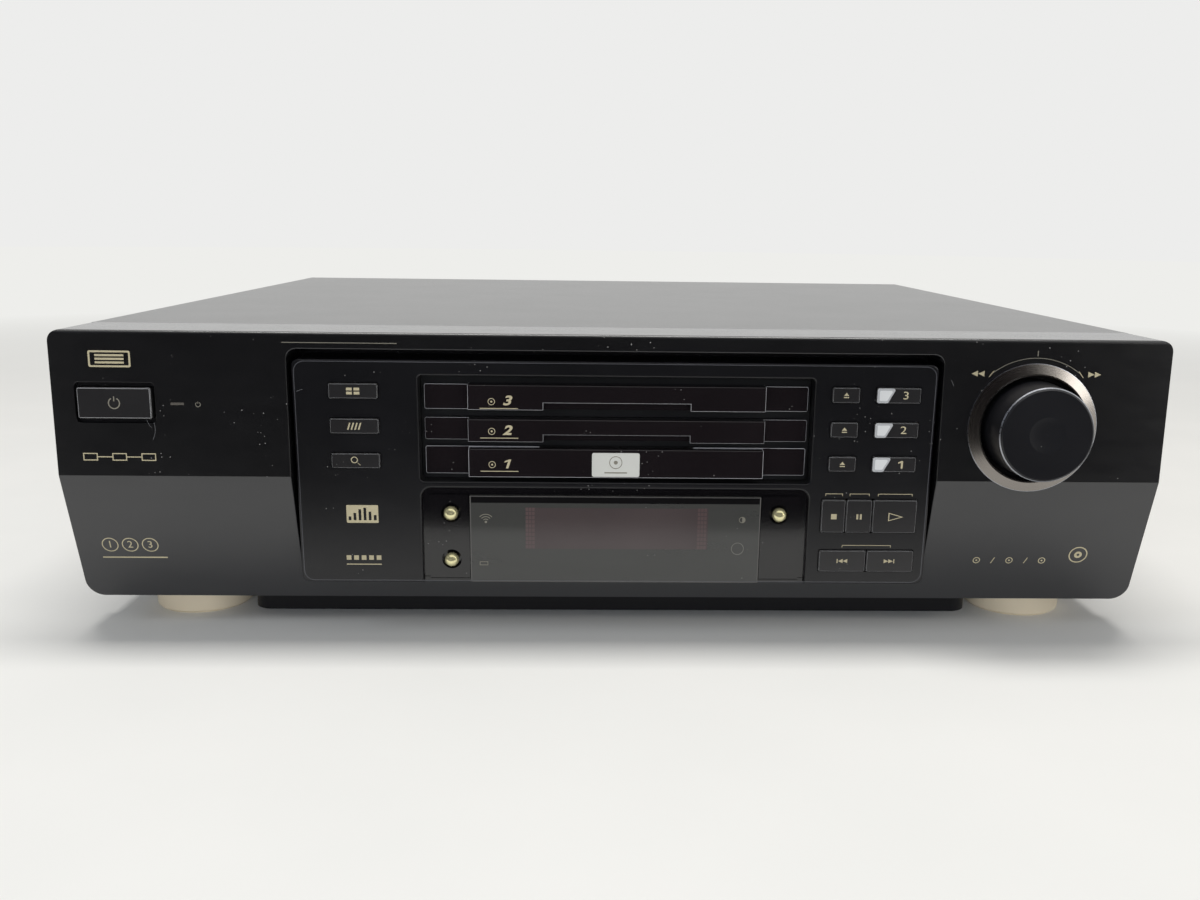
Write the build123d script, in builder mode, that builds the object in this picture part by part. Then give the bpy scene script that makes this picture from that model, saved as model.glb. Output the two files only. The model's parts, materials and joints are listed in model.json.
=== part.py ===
from build123d import *
import math
import os

# Full width disc changer: three stacked disc drawers, a display and a shuttle dial in a moulded front.
# Millimetres. X runs right, Y into the depth and Z up, with the origin under the middle of the whole box.

# Case
panel_width = 435.0
cover_width = 429.0
case_height = 124.0
case_depth = 400.0
foot_height = 12.5
knob_proud = 16.0
jack_proud = 8.0
sheet = 1.0
rear_panel_thick = 1.0
cover_clearance = 0.5

# Moulded front panel: upright face, fold and a chin that slopes back
panel_depth = 32.0
panel_wall = 3.0
fold_z = 67.2
chin_set_back = 17.1
top_edge_radius = 1.6
panel_top_corner = 4.5
panel_bottom_corner = 7.0

# Raked centre panel, which stands in an opening of the front panel
centre_half_width = 126.2
centre_top_z = 113.6
centre_bottom_z = 22.6
centre_top_depth = 0.93
centre_rake = 2.38
centre_corner = 3.0
centre_skin = 2.5
centre_rim_depth = 22.0
centre_edge_radius = 0.9
channel_side = 1.4
channel_top = 3.9
channel_bottom = 0.6
channel_corner = 4.0
opening_edge_radius = 0.6
collar_wall = 2.0
ledge_width = 5.0
ledge_thick = 2.0

# Disc drawers
tray_pitch = 13.2
tray_base_z = 68.6
tray_height = 7.6
tray_half_width = 66.0
tray_front_depth = 8.6
tray_reserve = 15.4
tray_side_wall = 3.2
tray_cross_wall = 4.0
tray_floor = 1.5
tray_ledge_width = 3.0
tray_travel = 136.0
slide_gap = 0.15
door_half_width = 58.5
door_drops = (1.7, 0.5, 0.9)
door_heights = (11.6, 9.1, 10.0)
door_sink = 0.4
notch_half_width = 29.0
notch_height = 2.9
wing_half_width = 75.8
wing_drops = (1.1, 0.3, 1.2)
wing_heights = (11.3, 8.9, 10.0)
wing_sink = 4.2
wing_corner = 0.8
door_edge_radius = 0.9
window_side_gap = 1.8
window_low_gap = 1.9
window_high_gap = 3.4
window_corner = 1.5
bezel_depth = 11.0
bezel_thick = 1.5
bezel_wall = 1.5
slot_gap = 0.8

# Disc carriers, which slide back out of the drawers to the playing position
disc_radius = 60.0
disc_margin = 0.9
disc_depth = 75.0
carrier_height = 5.7
carrier_floor = 1.4
carrier_rear_margin = 22.0
small_disc_radius = 40.0
small_disc_step = 0.6
hub_hole_radius = 19.0
pickup_slot_width = 34.0
finger_radius = 13.0
carrier_travel = 128.0

# Rack and pinion of each drawer
gear_module = 1.0
pinion_teeth = 16
pressure_angle = 20.0
rack_addendum = 0.85
rack_dedendum = 1.25
rack_thick = 3.6
rack_lift = 0.5
tooth_backlash = 0.12
pinion_thick = 3.0
pinion_lift = 0.8
pinion_depth = 22.0
pinion_hub_radius = 3.6
spindle_radius = 1.5
running_gap = 0.06

# Mechanism frame
frame_half_width = 88.0
frame_wall = 2.0
frame_front_depth = 16.0
frame_low_front_depth = 34.0
frame_step_gap = 0.5
frame_rear_depth = 306.0
frame_top_z = 112.0
rail_thick = 1.6
rail_overlap = 4.0
carrier_rail_overlap = 2.2
frame_foot_width = 10.0
frame_window = 34.0
frame_window_rib = 10.0
frame_window_count = 6
frame_window_z = 36.0
guide_gap = 0.3
guide_wall = 1.4
guide_height = 2.2

# Lift carriage, disc motor and pickup
lift_travel = 38.0
carriage_half_width = 56.0
carriage_front_depth = 180.0
carriage_plate_z = 40.0
carriage_plate_thick = 2.5
lift_rod_x = 40.0
lift_rod_depth = 298.0
lift_rod_radius = 2.5
lift_bush_radius = 5.0
lift_bush_height = 24.0
carriage_web = 3.0
turntable_radius = 14.5
disc_lift = 0.95
turntable_thick = 2.5
hub_radius = 7.4
hub_height = 3.0
motor_radius = 14.0
motor_height = 9.0
bearing_radius = 6.0
shaft_radius = 1.25
sled_rod_x = 22.0
sled_rod_radius = 1.5
sled_rod_z = 47.0
sled_start = 23.0
sled_travel = 35.0
sled_length = 26.0
sled_width = 32.0
sled_nose = 11.0
sled_body_height = 5.5
sled_rod_offset = 6.0
sled_rod_spare = 17.0
lug_radius = 3.5
lug_thick = 4.0
lens_height = 2.0
bearing_gap = 2.5
lens_radius = 4.0

# Drawer motor
loading_motor_x = -40.0
loading_motor_z = 24.0
loading_motor_depth = 62.0
loading_motor_radius = 12.0
loading_motor_length = 28.0
loading_shaft_length = 14.0
loading_pulley_radius = 5.0

# Buttons on the raked face, as centre x, width and height in rows or singly
row_z = 73.45
row_pitch = 13.95
effect_button = (-102.55, 19.0, 6.0)
eject_button = (89.9, 10.8, 6.1)
disc_button = (110.65, 17.5, 6.2)
lens_share = 0.335
lens_slant = 2.4
lens_joint = 0.04
stem_shift = 2.0
transport_z = 51.8
transport_height = 13.8
transport_edges = (82.7, 92.5, 103.3, 121.3)
skip_z = 32.8
skip_height = 9.1
skip_edges = (82.7, 102.0, 121.3)
key_split = 0.4
key_gap = 0.3
key_proud = 0.9
key_corner = 0.7
key_bevel = 0.3
key_travel = 0.8
key_flange = 1.0
key_lip = 0.9
key_flange_gap = 0.15
stem_radius = 1.3
press_gap = 0.2

# Display recess with its window, cheeks and three round keys
display_half_width = 77.4
display_top_z = 62.3
display_corner = 4.0
display_gap = 0.2
cheek_inner_x = 58.8
cheek_outer_x = 74.8
cheek_top_z = 59.3
cheek_sink = 1.5
display_plate = 2.0
display_flange = 3.2
glass_half_width = 58.4
glass_bottom_z = 22.8
glass_top_z = 59.2
view_half_width = 50.0
view_bottom_z = 29.0
view_top_z = 56.0
ball_places = ((-66.0, 51.7), (-66.0, 32.2), (66.0, 51.7))
ball_radius = 2.5
ball_sink = 1.0
ball_well_radius = 4.0
ball_well_sink = 5.0
ball_boss_radius = 6.0
ball_boss_thick = 1.8
ball_stem_radius = 1.4
tube_rear_depth = 17.0
tube_thick = 6.0

# Power key and standby lamp in the upright face
power_x = -193.6
power_z = 96.0
power_width = 28.0
power_height = 12.0
power_gap = 0.3
power_recess_width = 30.4
power_recess_height = 15.8
power_recess_sink = 2.2
power_recess_corner = 1.5
power_recess_edge = 0.3
power_proud = 1.0
power_travel = 2.0
power_pad = 6.0
power_board_depth = 14.0
power_board_margin = 9.0
lamp_x = -169.9
lamp_z = 95.8
lamp_width = 5.1
lamp_height = 1.0
lamp_gap = 0.05
lamp_proud = 0.1

# Shuttle dial
dial_x = 164.1
dial_z = 89.0
ring_outer_radius = 25.5
ring_inner_radius = 21.75
ring_proud = 2.0
ring_wall = 0.6
ring_edge = 0.4
dial_well_depth = 8.0
dial_pad = 10.5
dial_pad_radius = 27.5
knob_face_radius = 18.35
knob_base_radius = 19.2
knob_wall = 1.8
knob_edge = 1.0
knob_dimple_radius = 7.0
knob_dimple_sink = 0.9
knob_shaft_radius = 3.0
knob_skirt_depth = 4.0
knob_shaft_depth = 14.0
encoder_depth = 11.0
encoder_thick = 6.0
encoder_size = 12.0
encoder_board = 36.0

# Boards and supply inside
board_thick = 1.6
front_board_depth = 24.0
board_gap = 1.0
front_board_half = 124.0
front_board_bottom_z = 26.0
front_board_top_z = 111.0
front_cutout_drop = 3.0
board_z = 20.0
post_radius = 3.0
main_board_left = 96.0
main_board_right = 206.0
main_board_near = 60.0
main_board_far = 397.0
strip_left = -100.0
strip_near = 316.0
tub_posts = ((110.0, 80.0), (110.0, 220.0), (0.0, 328.0), (-90.0, 328.0))
floor_posts = ((198.0, 80.0), (198.0, 220.0), (198.0, 370.0), (-90.0, 370.0), (60.0, 370.0))
main_chips = (
    (140.0, 130.0, 28.0, 28.0, 3.0),
    (170.0, 190.0, 20.0, 20.0, 2.5),
    (130.0, 200.0, 24.0, 12.0, 2.5),
    (160.0, 260.0, 22.0, 30.0, 3.0),
    (60.0, 350.0, 16.0, 24.0, 2.5),
    (-40.0, 350.0, 30.0, 18.0, 6.0),
)
supply_left = -206.0
supply_right = -102.0
supply_near = 60.0
supply_far = 300.0
supply_floor_posts = ((-198.0, 70.0), (-198.0, 290.0))
supply_tub_posts = ((-110.0, 70.0), (-110.0, 290.0))
transformer_place = (-165.0, 240.0)
transformer_width = 52.0
transformer_length = 44.0
transformer_height = 44.0
capacitor_places = ((-125.0, 150.0), (-125.0, 175.0), (-150.0, 100.0))
capacitor_radius = 9.0
capacitor_height = 30.0
heat_sink_place = (-180.0, 150.0)
heat_sink_length = 60.0
heat_sink_width = 14.0
heat_sink_height = 35.0
heat_sink_pitch = 10.0
heat_sink_fins = 6

# Feet
foot_x = 180.7
foot_front_depth = 50.0
foot_rear_depth = 350.0
foot_top_radius = 20.9
foot_base_radius = 20.2
foot_screw_radius = 4.0
foot_bevel = 1.0

# Chassis with its dropped middle
tub_half_width = 152.0
tub_front_depth = 22.0
tub_rear_depth = 340.0
tub_floor_z = 5.0
tub_corner = 8.0
flange_height = 8.0
vent_x = 60.0
vent_length = 40.0
vent_width = 3.0
vent_pitch = 9.0
vent_count = 10

# Cover and rear panel
cover_bottom_z = 14.0
cover_bend_radius = 0.8
side_vent_depth = 320.0
side_vent_z = 70.0
side_vent_height = 26.0
side_vent_pitch = 8.0
side_vent_count = 12
rear_vent_x = -60.0
rear_vent_z = 90.0
rear_vent_height = 24.0
rear_vent_pitch = 8.0
rear_vent_count = 14

# Sockets of the rear panel, as x and z
rca_places = (
    (30.0, 40.0), (30.0, 58.0), (48.0, 40.0), (48.0, 58.0),
    (84.0, 40.0), (84.0, 58.0), (102.0, 40.0), (120.0, 40.0), (138.0, 40.0),
)
rca_radius = 4.15
rca_bore = 1.7
rca_base_radius = 6.0
rca_base_thick = 1.5
s_video_place = (120.0, 60.0)
s_video_radius = 6.2
optical_place = (165.0, 40.0)
optical_size = 9.6
inlet_place = (-185.0, 42.0)
inlet_width = 20.0
inlet_height = 12.0
inlet_depth = 16.0
inlet_flange = 3.0
panel_hole_gap = 0.3
jack_block_length = 13.0
inlet_lip = 2.0
inlet_well = 12.0
inlet_pin_pitch = 8.6
inlet_lobe_radius = 3.8
inlet_pin_radius = 1.2

# Places worked out from the sizes above
front_y = -(case_depth + jack_proud - knob_proud) / 2
rake = math.radians(centre_rake)
collar_depth = centre_rim_depth + ledge_thick
opening_half_width = centre_half_width + channel_side
opening_top_z = centre_top_z + channel_top
opening_bottom_z = centre_bottom_z - channel_bottom
opening_mid_z = (opening_top_z + opening_bottom_z) / 2
opening_height = opening_top_z - opening_bottom_z
centre_mid_z = (centre_top_z + centre_bottom_z) / 2
centre_height = centre_top_z - centre_bottom_z
window_half_width = wing_half_width + window_side_gap
window_bottom_z = tray_base_z - door_drops[0] - window_low_gap
window_top_z = tray_base_z + 2 * tray_pitch - door_drops[2] + door_heights[2] + window_high_gap
window_mid_z = (window_bottom_z + window_top_z) / 2
window_height = window_top_z - window_bottom_z
pitch_radius = gear_module * pinion_teeth / 2
tooth_pitch = math.pi * gear_module
rack_root_x = tray_half_width + 0.2
rack_pitch_x = rack_root_x + rack_dedendum
pinion_x = rack_pitch_x + pitch_radius
well_radius = disc_radius + disc_margin
carrier_half_width = tray_half_width - tray_side_wall - slide_gap
carrier_front_depth = tray_front_depth + tray_cross_wall + slide_gap
carrier_rear_depth = disc_depth + well_radius + carrier_rear_margin
spindle_depth = disc_depth + carrier_travel
tray_length = tray_travel + tray_reserve
tray_rear_depth = tray_front_depth + tray_length
top_tray_z = tray_base_z + 2 * tray_pitch
disc_z = top_tray_z + tray_floor + slide_gap + carrier_floor
turntable_z = disc_z + disc_lift - turntable_thick - lift_travel
sled_rod_length = sled_travel + sled_length + sled_rod_spare
front_cutout_z = window_bottom_z - front_cutout_drop
tub_top_z = tub_floor_z + sheet
floor_top_z = foot_height + sheet


def upright(depth):
    """Plane parallel to the front face, this far behind it, looking forwards."""
    return Plane.XZ.offset(-(front_y + depth))


def level(z):
    """Horizontal plane at height z, with its own origin on the front face."""
    return Plane(origin=(0, front_y, z), x_dir=(1, 0, 0), z_dir=(0, 0, 1))


face_plane = Plane(
    origin=(0, front_y + centre_top_depth, centre_top_z),
    x_dir=(1, 0, 0),
    z_dir=(0, -math.cos(rake), -math.sin(rake)),
)
face_axis = Axis((0, 0, 0), (0, -math.cos(rake), -math.sin(rake)))


def on_face(x, z):
    """Coordinates on the raked face of the point at this x and height."""
    return (x, (z - centre_top_z) / math.cos(rake))


def face_depth(z):
    """Depth of the raked face behind the upright face at this height."""
    return centre_top_depth + (centre_top_z - z) * math.tan(rake)


def front_edges(edges):
    """The edges that lie on the upright face or the chin of the front panel."""
    slope = chin_set_back / (fold_z - foot_height)
    return [
        edge
        for edge in edges
        if abs(edge.center().Y - front_y - slope * max(0, fold_z - edge.center().Z)) < 0.001
    ]


def tray_z(index):
    """Underside of the drawer, counted from the lowest."""
    return tray_base_z + index * tray_pitch


def keep(piece, name):
    """Names a finished piece and writes it."""
    piece.part.label = name
    export_step(piece.part, f"parts/{name}.step")


os.makedirs("parts", exist_ok=True)


# Front panel
with BuildPart() as panel_cavity:
    with BuildSketch(Plane.YZ):
        with BuildLine():
            Polyline(
                (front_y, case_height),
                (front_y, fold_z),
                (front_y + chin_set_back, foot_height),
                (front_y + panel_depth + panel_wall + 1, foot_height),
                (front_y + panel_depth + panel_wall + 1, case_height),
                close=True,
            )
        make_face()
        offset(amount=-panel_wall)
    extrude(amount=panel_width / 2 - panel_wall, both=True)
    with BuildSketch(upright(collar_depth)):
        with Locations((0, opening_mid_z)):
            RectangleRounded(
                2 * (opening_half_width + collar_wall),
                opening_height + 2 * collar_wall,
                channel_corner + collar_wall,
            )
    extrude(amount=collar_depth + 1, mode=Mode.SUBTRACT)
    with BuildSketch(upright(power_pad)):
        with Locations((power_x, power_z)):
            Rectangle(power_recess_width + 4, power_recess_height + 4)
    extrude(amount=power_pad, mode=Mode.SUBTRACT)
    with BuildSketch(upright(dial_pad)):
        with Locations((dial_x, dial_z)):
            Circle(dial_pad_radius)
    extrude(amount=dial_pad, mode=Mode.SUBTRACT)

with BuildPart() as front_panel:
    with BuildSketch(Plane.YZ) as side_view:
        with BuildLine():
            Polyline(
                (front_y, case_height),
                (front_y, fold_z),
                (front_y + chin_set_back, foot_height),
                (front_y + panel_depth, foot_height),
                (front_y + panel_depth, case_height),
                close=True,
            )
        make_face()
        fillet(side_view.vertices().group_by(Axis.Y)[-1].sort_by(Axis.X)[0], top_edge_radius)
    extrude(amount=panel_width / 2, both=True)
    with BuildSketch(upright(panel_depth)) as front_view:
        with Locations((0, (case_height + foot_height) / 2)):
            Rectangle(panel_width, case_height - foot_height)
        fillet(front_view.vertices().group_by(Axis.Y)[-1], panel_top_corner)
        fillet(front_view.vertices().group_by(Axis.Y)[0], panel_bottom_corner)
    extrude(amount=panel_depth + 1, mode=Mode.INTERSECT)
    add(panel_cavity.part, mode=Mode.SUBTRACT)
    with BuildSketch(upright(centre_rim_depth)):
        with Locations((0, opening_mid_z)):
            RectangleRounded(2 * opening_half_width, opening_height, channel_corner)
    extrude(amount=centre_rim_depth + 1, mode=Mode.SUBTRACT)
    fillet(front_edges(front_panel.edges(Select.LAST)), opening_edge_radius)
    with BuildSketch(upright(collar_depth + 1)):
        with Locations((0, opening_mid_z)):
            RectangleRounded(
                2 * (opening_half_width - ledge_width),
                opening_height - 2 * ledge_width,
                channel_corner,
            )
    extrude(amount=ledge_thick + 2, mode=Mode.SUBTRACT)
    with BuildSketch(upright(power_recess_sink)):
        with Locations((power_x, power_z)):
            RectangleRounded(power_recess_width, power_recess_height, power_recess_corner)
    extrude(amount=power_recess_sink + 1, mode=Mode.SUBTRACT)
    fillet(front_edges(front_panel.edges(Select.LAST)), power_recess_edge)
    with BuildSketch(upright(power_pad + 1)):
        with Locations((power_x, power_z)):
            RectangleRounded(
                power_width + 2 * power_gap,
                power_height + 2 * power_gap,
                key_corner + power_gap,
            )
    extrude(amount=power_pad, mode=Mode.SUBTRACT)
    with BuildSketch(upright(panel_wall + 1)):
        with Locations((lamp_x, lamp_z)):
            Rectangle(lamp_width + 2 * lamp_gap, lamp_height + 2 * lamp_gap)
    extrude(amount=panel_wall + 2, mode=Mode.SUBTRACT)
    with BuildSketch(upright(dial_well_depth)):
        with Locations((dial_x, dial_z)):
            Circle(ring_inner_radius + lamp_gap)
    extrude(amount=dial_well_depth + 1, mode=Mode.SUBTRACT)
    with BuildSketch(upright(dial_pad + 1)):
        with Locations((dial_x, dial_z)):
            Circle(knob_shaft_radius + running_gap)
    extrude(amount=dial_pad, mode=Mode.SUBTRACT)
keep(front_panel, "front_panel")


# Centre panel
def face_window(x, z, width, height):
    """Rounded window for a key on the raked face, drawn just in front of it."""
    with BuildSketch(face_plane.offset(1)) as window:
        with Locations(on_face(x, z)):
            RectangleRounded(width + 2 * key_gap, height + 2 * key_gap, key_corner + key_gap)
    return window.sketch


transport_mid = (transport_edges[-1] + transport_edges[0]) / 2
transport_width = transport_edges[-1] - transport_edges[0]
skip_mid = (skip_edges[-1] + skip_edges[0]) / 2
skip_width = skip_edges[-1] - skip_edges[0]
key_windows = [
    (x, row_z + row * row_pitch, width, height)
    for row in range(3)
    for x, width, height in (effect_button, eject_button, disc_button)
]
key_windows.append((transport_mid, transport_z, transport_width, transport_height))
key_windows.append((skip_mid, skip_z, skip_width, skip_height))

with BuildPart() as centre_panel:
    with BuildSketch(upright(centre_rim_depth)):
        with Locations((0, centre_mid_z)):
            RectangleRounded(2 * centre_half_width, centre_height, centre_corner)
    extrude(amount=centre_rim_depth + 5)
    split(bisect_by=face_plane, keep=Keep.BOTTOM)
    with BuildSketch(face_plane.offset(-centre_skin)):
        with Locations(on_face(0, centre_mid_z)):
            RectangleRounded(
                2 * (centre_half_width - centre_skin),
                centre_height - 2 * centre_skin,
                centre_corner,
            )
    extrude(amount=-centre_rim_depth - 5, mode=Mode.SUBTRACT)
    with BuildSketch(upright(tray_front_depth)):
        with Locations((0, window_mid_z)):
            RectangleRounded(2 * window_half_width, window_height, window_corner)
    extrude(amount=tray_front_depth + 5, mode=Mode.SUBTRACT)
    with BuildSketch(face_plane.offset(1)) as display_outline:
        with Locations(on_face(0, (display_top_z + centre_bottom_z) / 2 - 5)):
            Rectangle(2 * display_half_width, display_top_z - centre_bottom_z + 10)
        fillet(display_outline.vertices().group_by(Axis.Y)[-1], display_corner)
    extrude(amount=-(centre_skin + display_plate + 2), mode=Mode.SUBTRACT)
    fillet(centre_panel.faces().sort_by(face_axis)[-1].edges(), centre_edge_radius)
    for place in key_windows:
        extrude(face_window(*place), amount=-(centre_skin + 3), mode=Mode.SUBTRACT)
keep(centre_panel, "centre_panel")


# Frame behind the window, with one slot for each drawer
with BuildPart() as tray_bezel:
    with BuildSketch(upright(bezel_depth + bezel_thick)):
        with Locations((0, window_mid_z)):
            Rectangle(2 * (window_half_width + bezel_wall), window_height + 2 * bezel_wall)
    extrude(amount=bezel_depth + bezel_thick)
    split(bisect_by=face_plane.offset(-centre_skin), keep=Keep.BOTTOM)
    with BuildSketch(upright(bezel_depth)):
        with Locations((0, window_mid_z)):
            RectangleRounded(2 * window_half_width, window_height, window_corner)
    extrude(amount=bezel_depth + 5, mode=Mode.SUBTRACT)
    with BuildSketch(upright(bezel_depth + bezel_thick + 1)):
        for index in range(3):
            with Locations(((rack_pitch_x - tray_half_width) / 2 + 0.5, tray_z(index) + tray_height / 2)):
                Rectangle(
                    tray_half_width + rack_pitch_x + 2 * slot_gap + 1,
                    tray_height + 2 * slot_gap,
                )
    extrude(amount=bezel_thick + 2, mode=Mode.SUBTRACT)
keep(tray_bezel, "tray_bezel")


# Rack teeth, one closed outline per tooth, in the plane of a level
def rack_tooth(centre):
    """Outline of one straight sided tooth that points to +X, centred this deep."""
    lean = math.tan(math.radians(pressure_angle))
    half_pitch_width = tooth_pitch / 4 - tooth_backlash / 2
    tip = half_pitch_width - rack_addendum * lean
    root = half_pitch_width + rack_dedendum * lean
    return [
        (tray_half_width - 0.5, centre - root),
        (rack_root_x, centre - root),
        (rack_pitch_x + rack_addendum, centre - tip),
        (rack_pitch_x + rack_addendum, centre + tip),
        (rack_root_x, centre + root),
        (tray_half_width - 0.5, centre + root),
    ]


def involute_point(base_radius, radius, turn, side):
    """Point of an involute flank at this radius, turned so that its tooth is centred at the turn."""
    roll = math.sqrt((radius / base_radius) ** 2 - 1)
    angle = turn + side * (math.atan(roll) - roll)
    return (radius * math.cos(angle), radius * math.sin(angle))


def pinion_outline(teeth, pitch_r, addendum, dedendum):
    """Closed involute outline of a spur gear centred on its own origin, a tooth at angle zero."""
    base = pitch_r * math.cos(math.radians(pressure_angle))
    root = pitch_r - dedendum
    tip = pitch_r + addendum
    pitch_roll = math.sqrt((pitch_r / base) ** 2 - 1)
    half_angle = (tooth_pitch / 2 - tooth_backlash) / 2 / pitch_r + pitch_roll - math.atan(pitch_roll)
    flank = [base + (tip - base) * step / 4 for step in range(5)]
    points = []
    for tooth in range(teeth):
        centre = 2 * math.pi * tooth / teeth
        start = centre - half_angle
        end = centre + half_angle
        points.append((root * math.cos(start), root * math.sin(start)))
        points += [involute_point(base, radius, start, -1) for radius in flank]
        points += [involute_point(base, radius, end, 1) for radius in reversed(flank)]
        points.append((root * math.cos(end), root * math.sin(end)))
    return points


pinion_points = pinion_outline(pinion_teeth, pitch_radius, rack_dedendum - 0.3, rack_addendum + 0.3)
first_tooth = math.ceil((tray_front_depth + 4 - pinion_depth) / tooth_pitch)
last_tooth = math.floor((tray_rear_depth - 2 - pinion_depth) / tooth_pitch)

for index in range(3):
    base_z = tray_z(index)

    # Drawer: a U of side walls and ledges, open to the rear, with its rack on the right
    with BuildPart() as tray:
        with BuildSketch(level(base_z)):
            with Locations((0, tray_front_depth + tray_length / 2)):
                Rectangle(2 * tray_half_width, tray_length)
        extrude(amount=tray_height)
        with BuildSketch(level(base_z + tray_floor)):
            with Locations((0, tray_front_depth + tray_cross_wall + tray_length / 2)):
                Rectangle(2 * (tray_half_width - tray_side_wall), tray_length)
        extrude(amount=tray_height, mode=Mode.SUBTRACT)
        with BuildSketch(level(base_z)):
            with Locations((0, tray_front_depth + tray_cross_wall + tray_ledge_width + tray_length / 2)):
                Rectangle(2 * (tray_half_width - tray_side_wall - tray_ledge_width), tray_length)
        extrude(amount=tray_floor + 1, mode=Mode.SUBTRACT)
        with BuildSketch(level(base_z + rack_lift)):
            for tooth in range(first_tooth, last_tooth):
                Polygon(*rack_tooth(pinion_depth + (tooth + 0.5) * tooth_pitch), align=None)
        extrude(amount=rack_thick)
    keep(tray, f"tray_{index + 1}")

    # Face of the drawer: a raked door with a wing set back at each side
    door_bottom = base_z - door_drops[index]
    door_mid = door_bottom + door_heights[index] / 2
    wing_mid = base_z - wing_drops[index] + wing_heights[index] / 2
    with BuildPart() as wings:
        with BuildSketch(upright(tray_front_depth)):
            with Locations((0, wing_mid)):
                Rectangle(2 * wing_half_width, wing_heights[index])
        extrude(amount=tray_front_depth)
        split(bisect_by=face_plane.offset(-wing_sink), keep=Keep.BOTTOM)
        fillet(wings.edges().filter_by(Axis.Y), wing_corner)
    with BuildPart() as tray_front:
        with BuildSketch(upright(tray_front_depth)):
            with Locations((0, door_mid)):
                Rectangle(2 * door_half_width, door_heights[index])
        extrude(amount=tray_front_depth + 5)
        split(bisect_by=face_plane.offset(-door_sink), keep=Keep.BOTTOM)
        fillet(tray_front.faces().sort_by(face_axis)[-1].edges().sort_by(Axis.Z)[-1], door_edge_radius)
        add(wings.part)
        if index > 0:
            with BuildSketch(face_plane.offset(-wing_sink)):
                with Locations(on_face(0, door_bottom)):
                    Rectangle(2 * notch_half_width, 2 * notch_height)
            extrude(amount=wing_sink + 2, mode=Mode.SUBTRACT)
    keep(tray_front, f"tray_front_{index + 1}")

    # Carrier: the plate with the disc wells, a hub hole and a slot for the pickup
    carrier_z = base_z + tray_floor + slide_gap
    with BuildPart() as carrier:
        with BuildSketch(level(carrier_z)):
            with Locations((0, (carrier_front_depth + carrier_rear_depth) / 2)):
                Rectangle(2 * carrier_half_width, carrier_rear_depth - carrier_front_depth)
        extrude(amount=carrier_height)
        with BuildSketch(level(carrier_z + carrier_floor)):
            with Locations((0, disc_depth)):
                Circle(well_radius)
            for side in (-1, 1):
                with Locations((side * well_radius * 0.72, disc_depth - well_radius * 0.72)):
                    Circle(finger_radius)
        extrude(amount=carrier_height, mode=Mode.SUBTRACT)
        with BuildSketch(level(carrier_z + carrier_floor - small_disc_step)):
            with Locations((0, disc_depth)):
                Circle(small_disc_radius + disc_margin)
        extrude(amount=carrier_height, mode=Mode.SUBTRACT)
        with BuildSketch(level(carrier_z - 1)):
            with Locations((0, disc_depth)):
                Circle(hub_hole_radius)
            with Locations((0, disc_depth + disc_radius / 2)):
                Rectangle(pickup_slot_width, disc_radius)
        extrude(amount=carrier_height, mode=Mode.SUBTRACT)
    keep(carrier, f"disc_carrier_{index + 1}")

    # Pinion that drives the drawer's rack
    with BuildPart() as pinion:
        with BuildSketch(level(base_z + pinion_lift)):
            with Locations((pinion_x, pinion_depth)):
                Polygon(*pinion_points, align=None)
        extrude(amount=pinion_thick)
        with BuildSketch(level(base_z - slide_gap + running_gap)):
            with Locations((pinion_x, pinion_depth)):
                Circle(pinion_hub_radius)
        extrude(amount=tray_pitch - rail_thick - 2 * running_gap)
        with BuildSketch(level(base_z - 1)):
            with Locations((pinion_x, pinion_depth)):
                Circle(spindle_radius + running_gap)
        extrude(amount=tray_pitch + 2, mode=Mode.SUBTRACT)
    keep(pinion, f"tray_pinion_{index + 1}")


# Steel spindle that the three pinions turn on
spindle_bottom_z = tray_base_z - slide_gap - rail_thick - 1
spindle_top_z = tray_z(3) - slide_gap
with BuildPart() as pinion_spindle:
    with BuildSketch(level(spindle_bottom_z)):
        with Locations((pinion_x, pinion_depth)):
            Circle(spindle_radius)
    extrude(amount=spindle_top_z - spindle_bottom_z)
keep(pinion_spindle, "pinion_spindle")


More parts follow.
